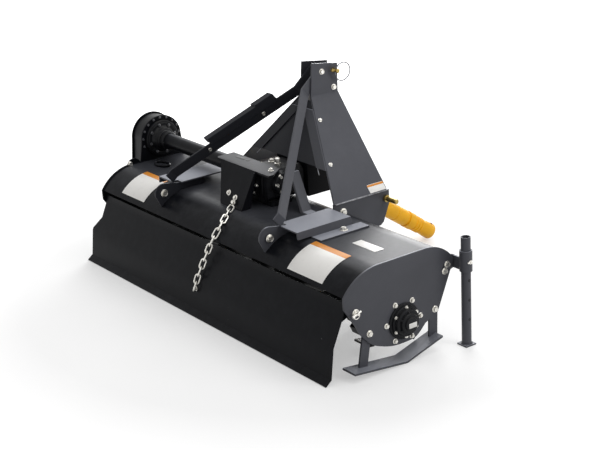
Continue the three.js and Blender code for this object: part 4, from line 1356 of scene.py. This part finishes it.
@dataclass
class DriveShaft:
    """Guarded drive shaft hanging from the gearbox."""

    angle: float = -34.6
    joint_y: float = 262.0
    joint_z: float = 500.0
    length: float = 824.0
    bell: Profile = ((34, 42.5), (34, 46), (38, 46.6))
    tube: Profile = ((124, 37), (150, 37), (560, 37), (562, 35), (567, 35), (569, 37), (638, 37), (640, 32.5),
                     (648, 32.5), (650, 38.5), (690, 38.5), (692, 32.5), (698, 32.5))
    rings: tuple = (700, 717, 734)
    inside: Profile = ((760, 30), (740, 28), (738, 16), (170, 16), (160, 15.6), (124, 33), (34, 42.5))
    collar: Profile = ((0, 24.5), (2, 26), (10, 26), (12, 24.6), (30, 24.6), (31, 25.6), (40, 25.6), (41, 24.6))
    cross: Profile = ((0, 8), (1, 9.5), (53, 9.5), (54, 8))

    def along(self, s: float) -> Points:
        """The point s millimetres down the shaft from its joint."""
        return np.array([0.0, self.joint_y, self.joint_z]) + self.line() * s

    def line(self) -> Points:
        """The shaft's direction."""
        a = math.radians(self.angle)
        return np.array([0.0, math.cos(a), math.sin(a)])

    def guard(self) -> None:
        """Yellow guard: ribbed cone, smooth outer tube, collar, ribbed inner tube and end bell."""
        profile, end = list(self.bell), self.length
        for s in range(42, 118, 8):
            r = 46 - (s - 34) * 0.11
            profile += [(s, r - 1.8), (s + 4, r - 0.3)]
        profile += self.tube
        for s in self.rings:
            profile += [(s, 32.5), (s + 3, 36), (s + 11, 36), (s + 14, 32.5)]
        profile += [(752, 33), (758, 33), (end - 40, 35.4), (end - 2, 37), (end, 36), (end, 33), *self.inside]
        made = piece("guard_tube", turned(self.along(0), self.line(), profile, 56), Finish.YELLOW, Body.GUARD)
        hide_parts("pto_guard")
        a = math.radians(self.angle)
        out = np.array([0.35, -math.sin(a) * 0.94, math.cos(a) * 0.94])
        dot = turned(self.along(end - 20) + out * 35.0, out, [(0, 6), (2.5, 6), (3.2, 5)], 16)
        piece("guard_catch", dot, Finish.RED, Body.GUARD)

    def yokes(self) -> None:
        """The yokes' finish, the far one's collar and the cross at the gearbox."""
        for node in ("pto_shaft", "input_yoke"):
            dress(node, Finish.STEEL, 1.0)
        collar = turned(self.along(self.length - 62), self.line(), self.collar, 40)
        piece("shaft_collar", collar, Finish.STEEL, Body.SHAFT)
        cross = turned((-27, self.joint_y, self.joint_z), RIGHT, self.cross, 24)
        piece("joint_cross", cross, Finish.STEEL, Body.INPUT)

    def build(self) -> None:
        """The guard and the joints."""
        self.guard()
        self.yokes()


@dataclass
class Rotor:
    """Rotor shaft with its tine discs."""

    discs: int = 7

    def build(self) -> None:
        """Finishes of the shaft and the discs."""
        dress("rotor_shaft", Finish.CAST, 1.0)
        for k in range(self.discs):
            dress("tine_disc_%d" % (k + 1), Finish.CAST, 1.0)


# ---------------------------------------------------------------- studio


def seen_rays(tree: bpy.types.NodeTree) -> Wire:
    """1 for rays from the camera and through gloss or glass, 0 for the light on everything else."""
    rays = tree.nodes.new("ShaderNodeLightPath").outputs
    direct = Wire(tree, rays["Is Camera Ray"]) + Wire(tree, rays["Is Glossy Ray"])
    return (direct + Wire(tree, rays["Is Transmission Ray"])).held()


@dataclass(frozen=True)
class Lamp:
    """A square soft box aimed at the machine: place and side in metres, power in watts."""

    name: str
    at: Place
    side: float
    power: float
    aim: Place = (0, 0, 0.4)

    def build(self) -> None:
        """Puts the lamp in the scene."""
        data = bpy.data.lights.new(self.name, "AREA")
        data.shape = "SQUARE"
        data.size = self.side
        data.energy = self.power
        made = shown(self.name, data)
        made.location = self.at
        made.rotation_mode = "QUATERNION"
        made.rotation_quaternion = (Vector(self.aim) - Vector(self.at)).to_track_quat("-Z", "Y")


@dataclass
class Studio:
    """Floor, lamps, world and camera."""

    azimuth: float = 53.899
    elevation: float = 19.968
    roll: float = 3.074
    lens: float = 83.658
    eye: Place = (4536.3, -3105.7, 2293.9)
    floor_half: float = 30.0
    floor_tones: tuple[float, float] = (0.60, 0.62)
    glow_near: float = 0.42
    fade_from: float = 1.3
    fade_to: float = 2.8
    sky_light: float = 0.38
    lamps: tuple[Lamp, ...] = (
        Lamp("overhead", (0.6, 0.8, 4.6), 3.6, 70),
        Lamp("right_front", (4.2, 1.8, 3.0), 2.4, 55),
        Lamp("sheen", (-3.1, 2.3, 3.6), 2.8, 100),
        Lamp("low_sheen", (-3.6, 4.3, 1.9), 3.0, 180),
    )

    def floor(self) -> None:
        """A pale floor: one square, soft and matt, that keeps the machine's shadow and fades to white far off."""
        half = self.floor_half
        mesh = bpy.data.meshes.new("floor")
        mesh.from_pydata([(-half, -half, 0), (half, -half, 0), (half, half, 0), (-half, half, 0)], [], [(0, 1, 2, 3)])
        bench = Bench("floor_paper")
        grain = bench.speckle(1.5, 3.0)
        dim, pale = ((tone, tone, tone, 1.0) for tone in self.floor_tones)
        bench.set(Base_Color=bench.mixed(grain.over(0.3, 0.7), dim, pale), Roughness=0.85, Specular_IOR_Level=0.0)
        far = bench.node("ShaderNodeVectorMath", {0: bench.place}, operation="LENGTH").outputs["Value"]
        away = Wire(bench.tree, far).over(self.fade_from, self.fade_to)
        glow = (self.glow_near + (1 - self.glow_near) * away) * seen_rays(bench.tree)
        bench.set(Emission_Color=bench.mixed(glow, (0.0, 0.0, 0.0, 1.0), (1.0, 1.0, 1.0, 1.0)), Emission_Strength=1.0)
        mesh.materials.append(bench.material)
        shown("floor", mesh)

    def sky(self) -> None:
        """White to the camera and in reflections, a dimmer even light on everything else."""
        world = bpy.data.worlds.new("studio")
        bpy.context.scene.world = world
        world.use_nodes = True
        tree = world.node_tree
        tree.nodes.clear()
        strength = self.sky_light + (1 - self.sky_light) * seen_rays(tree)
        back = tree.nodes.new("ShaderNodeBackground")
        back.inputs["Color"].default_value = (1.0, 1.0, 1.0, 1.0)
        tree.links.new(strength.socket, back.inputs["Strength"])
        out = tree.nodes.new("ShaderNodeOutputWorld")
        tree.links.new(back.outputs[0], out.inputs["Surface"])

    def camera(self) -> None:
        """The camera: its axes from azimuth, elevation and roll, its place on the machine's axes."""
        a, e, r = (math.radians(x) for x in (self.azimuth, self.elevation, self.roll))
        back = np.array([math.sin(a) * math.cos(e), -math.cos(a) * math.cos(e), math.sin(e)])
        right = unit(np.cross((0.0, 0.0, 1.0), back))
        up = np.cross(back, right)
        right, up = math.cos(r) * right - math.sin(r) * up, math.sin(r) * right + math.cos(r) * up
        data = bpy.data.cameras.new("camera")
        data.sensor_width = 36.0
        data.lens = self.lens
        made = shown("camera", data)
        turn = Matrix(np.stack([right, up, back], axis=-1).tolist()).to_4x4()
        made.matrix_world = Matrix.Translation(Vector(YARD.metres(np.array(self.eye)))) @ turn
        bpy.context.scene.camera = made

    def build(self) -> None:
        """Everything round the machine."""
        bpy.context.scene.view_settings.view_transform = "Standard"
        self.floor()
        self.sky()
        for lamp in self.lamps:
            lamp.build()
        self.camera()


def main() -> None:
    """Builds the studio and the machine's sub-assemblies in order."""
    logging.basicConfig(level=logging.INFO, format="%(message)s")
    Studio().build()
    for part in (Sheeting(), RotorHub(), SideDrive(), Gearbox(), Carrier(), Headstock(), FlapChain(), Flap(),
                 Skids(), Stand(), DriveShaft(), Rotor()):
        log.info("-- %s", type(part).__name__)
        part.build()


if __name__ == "__main__":
    main()
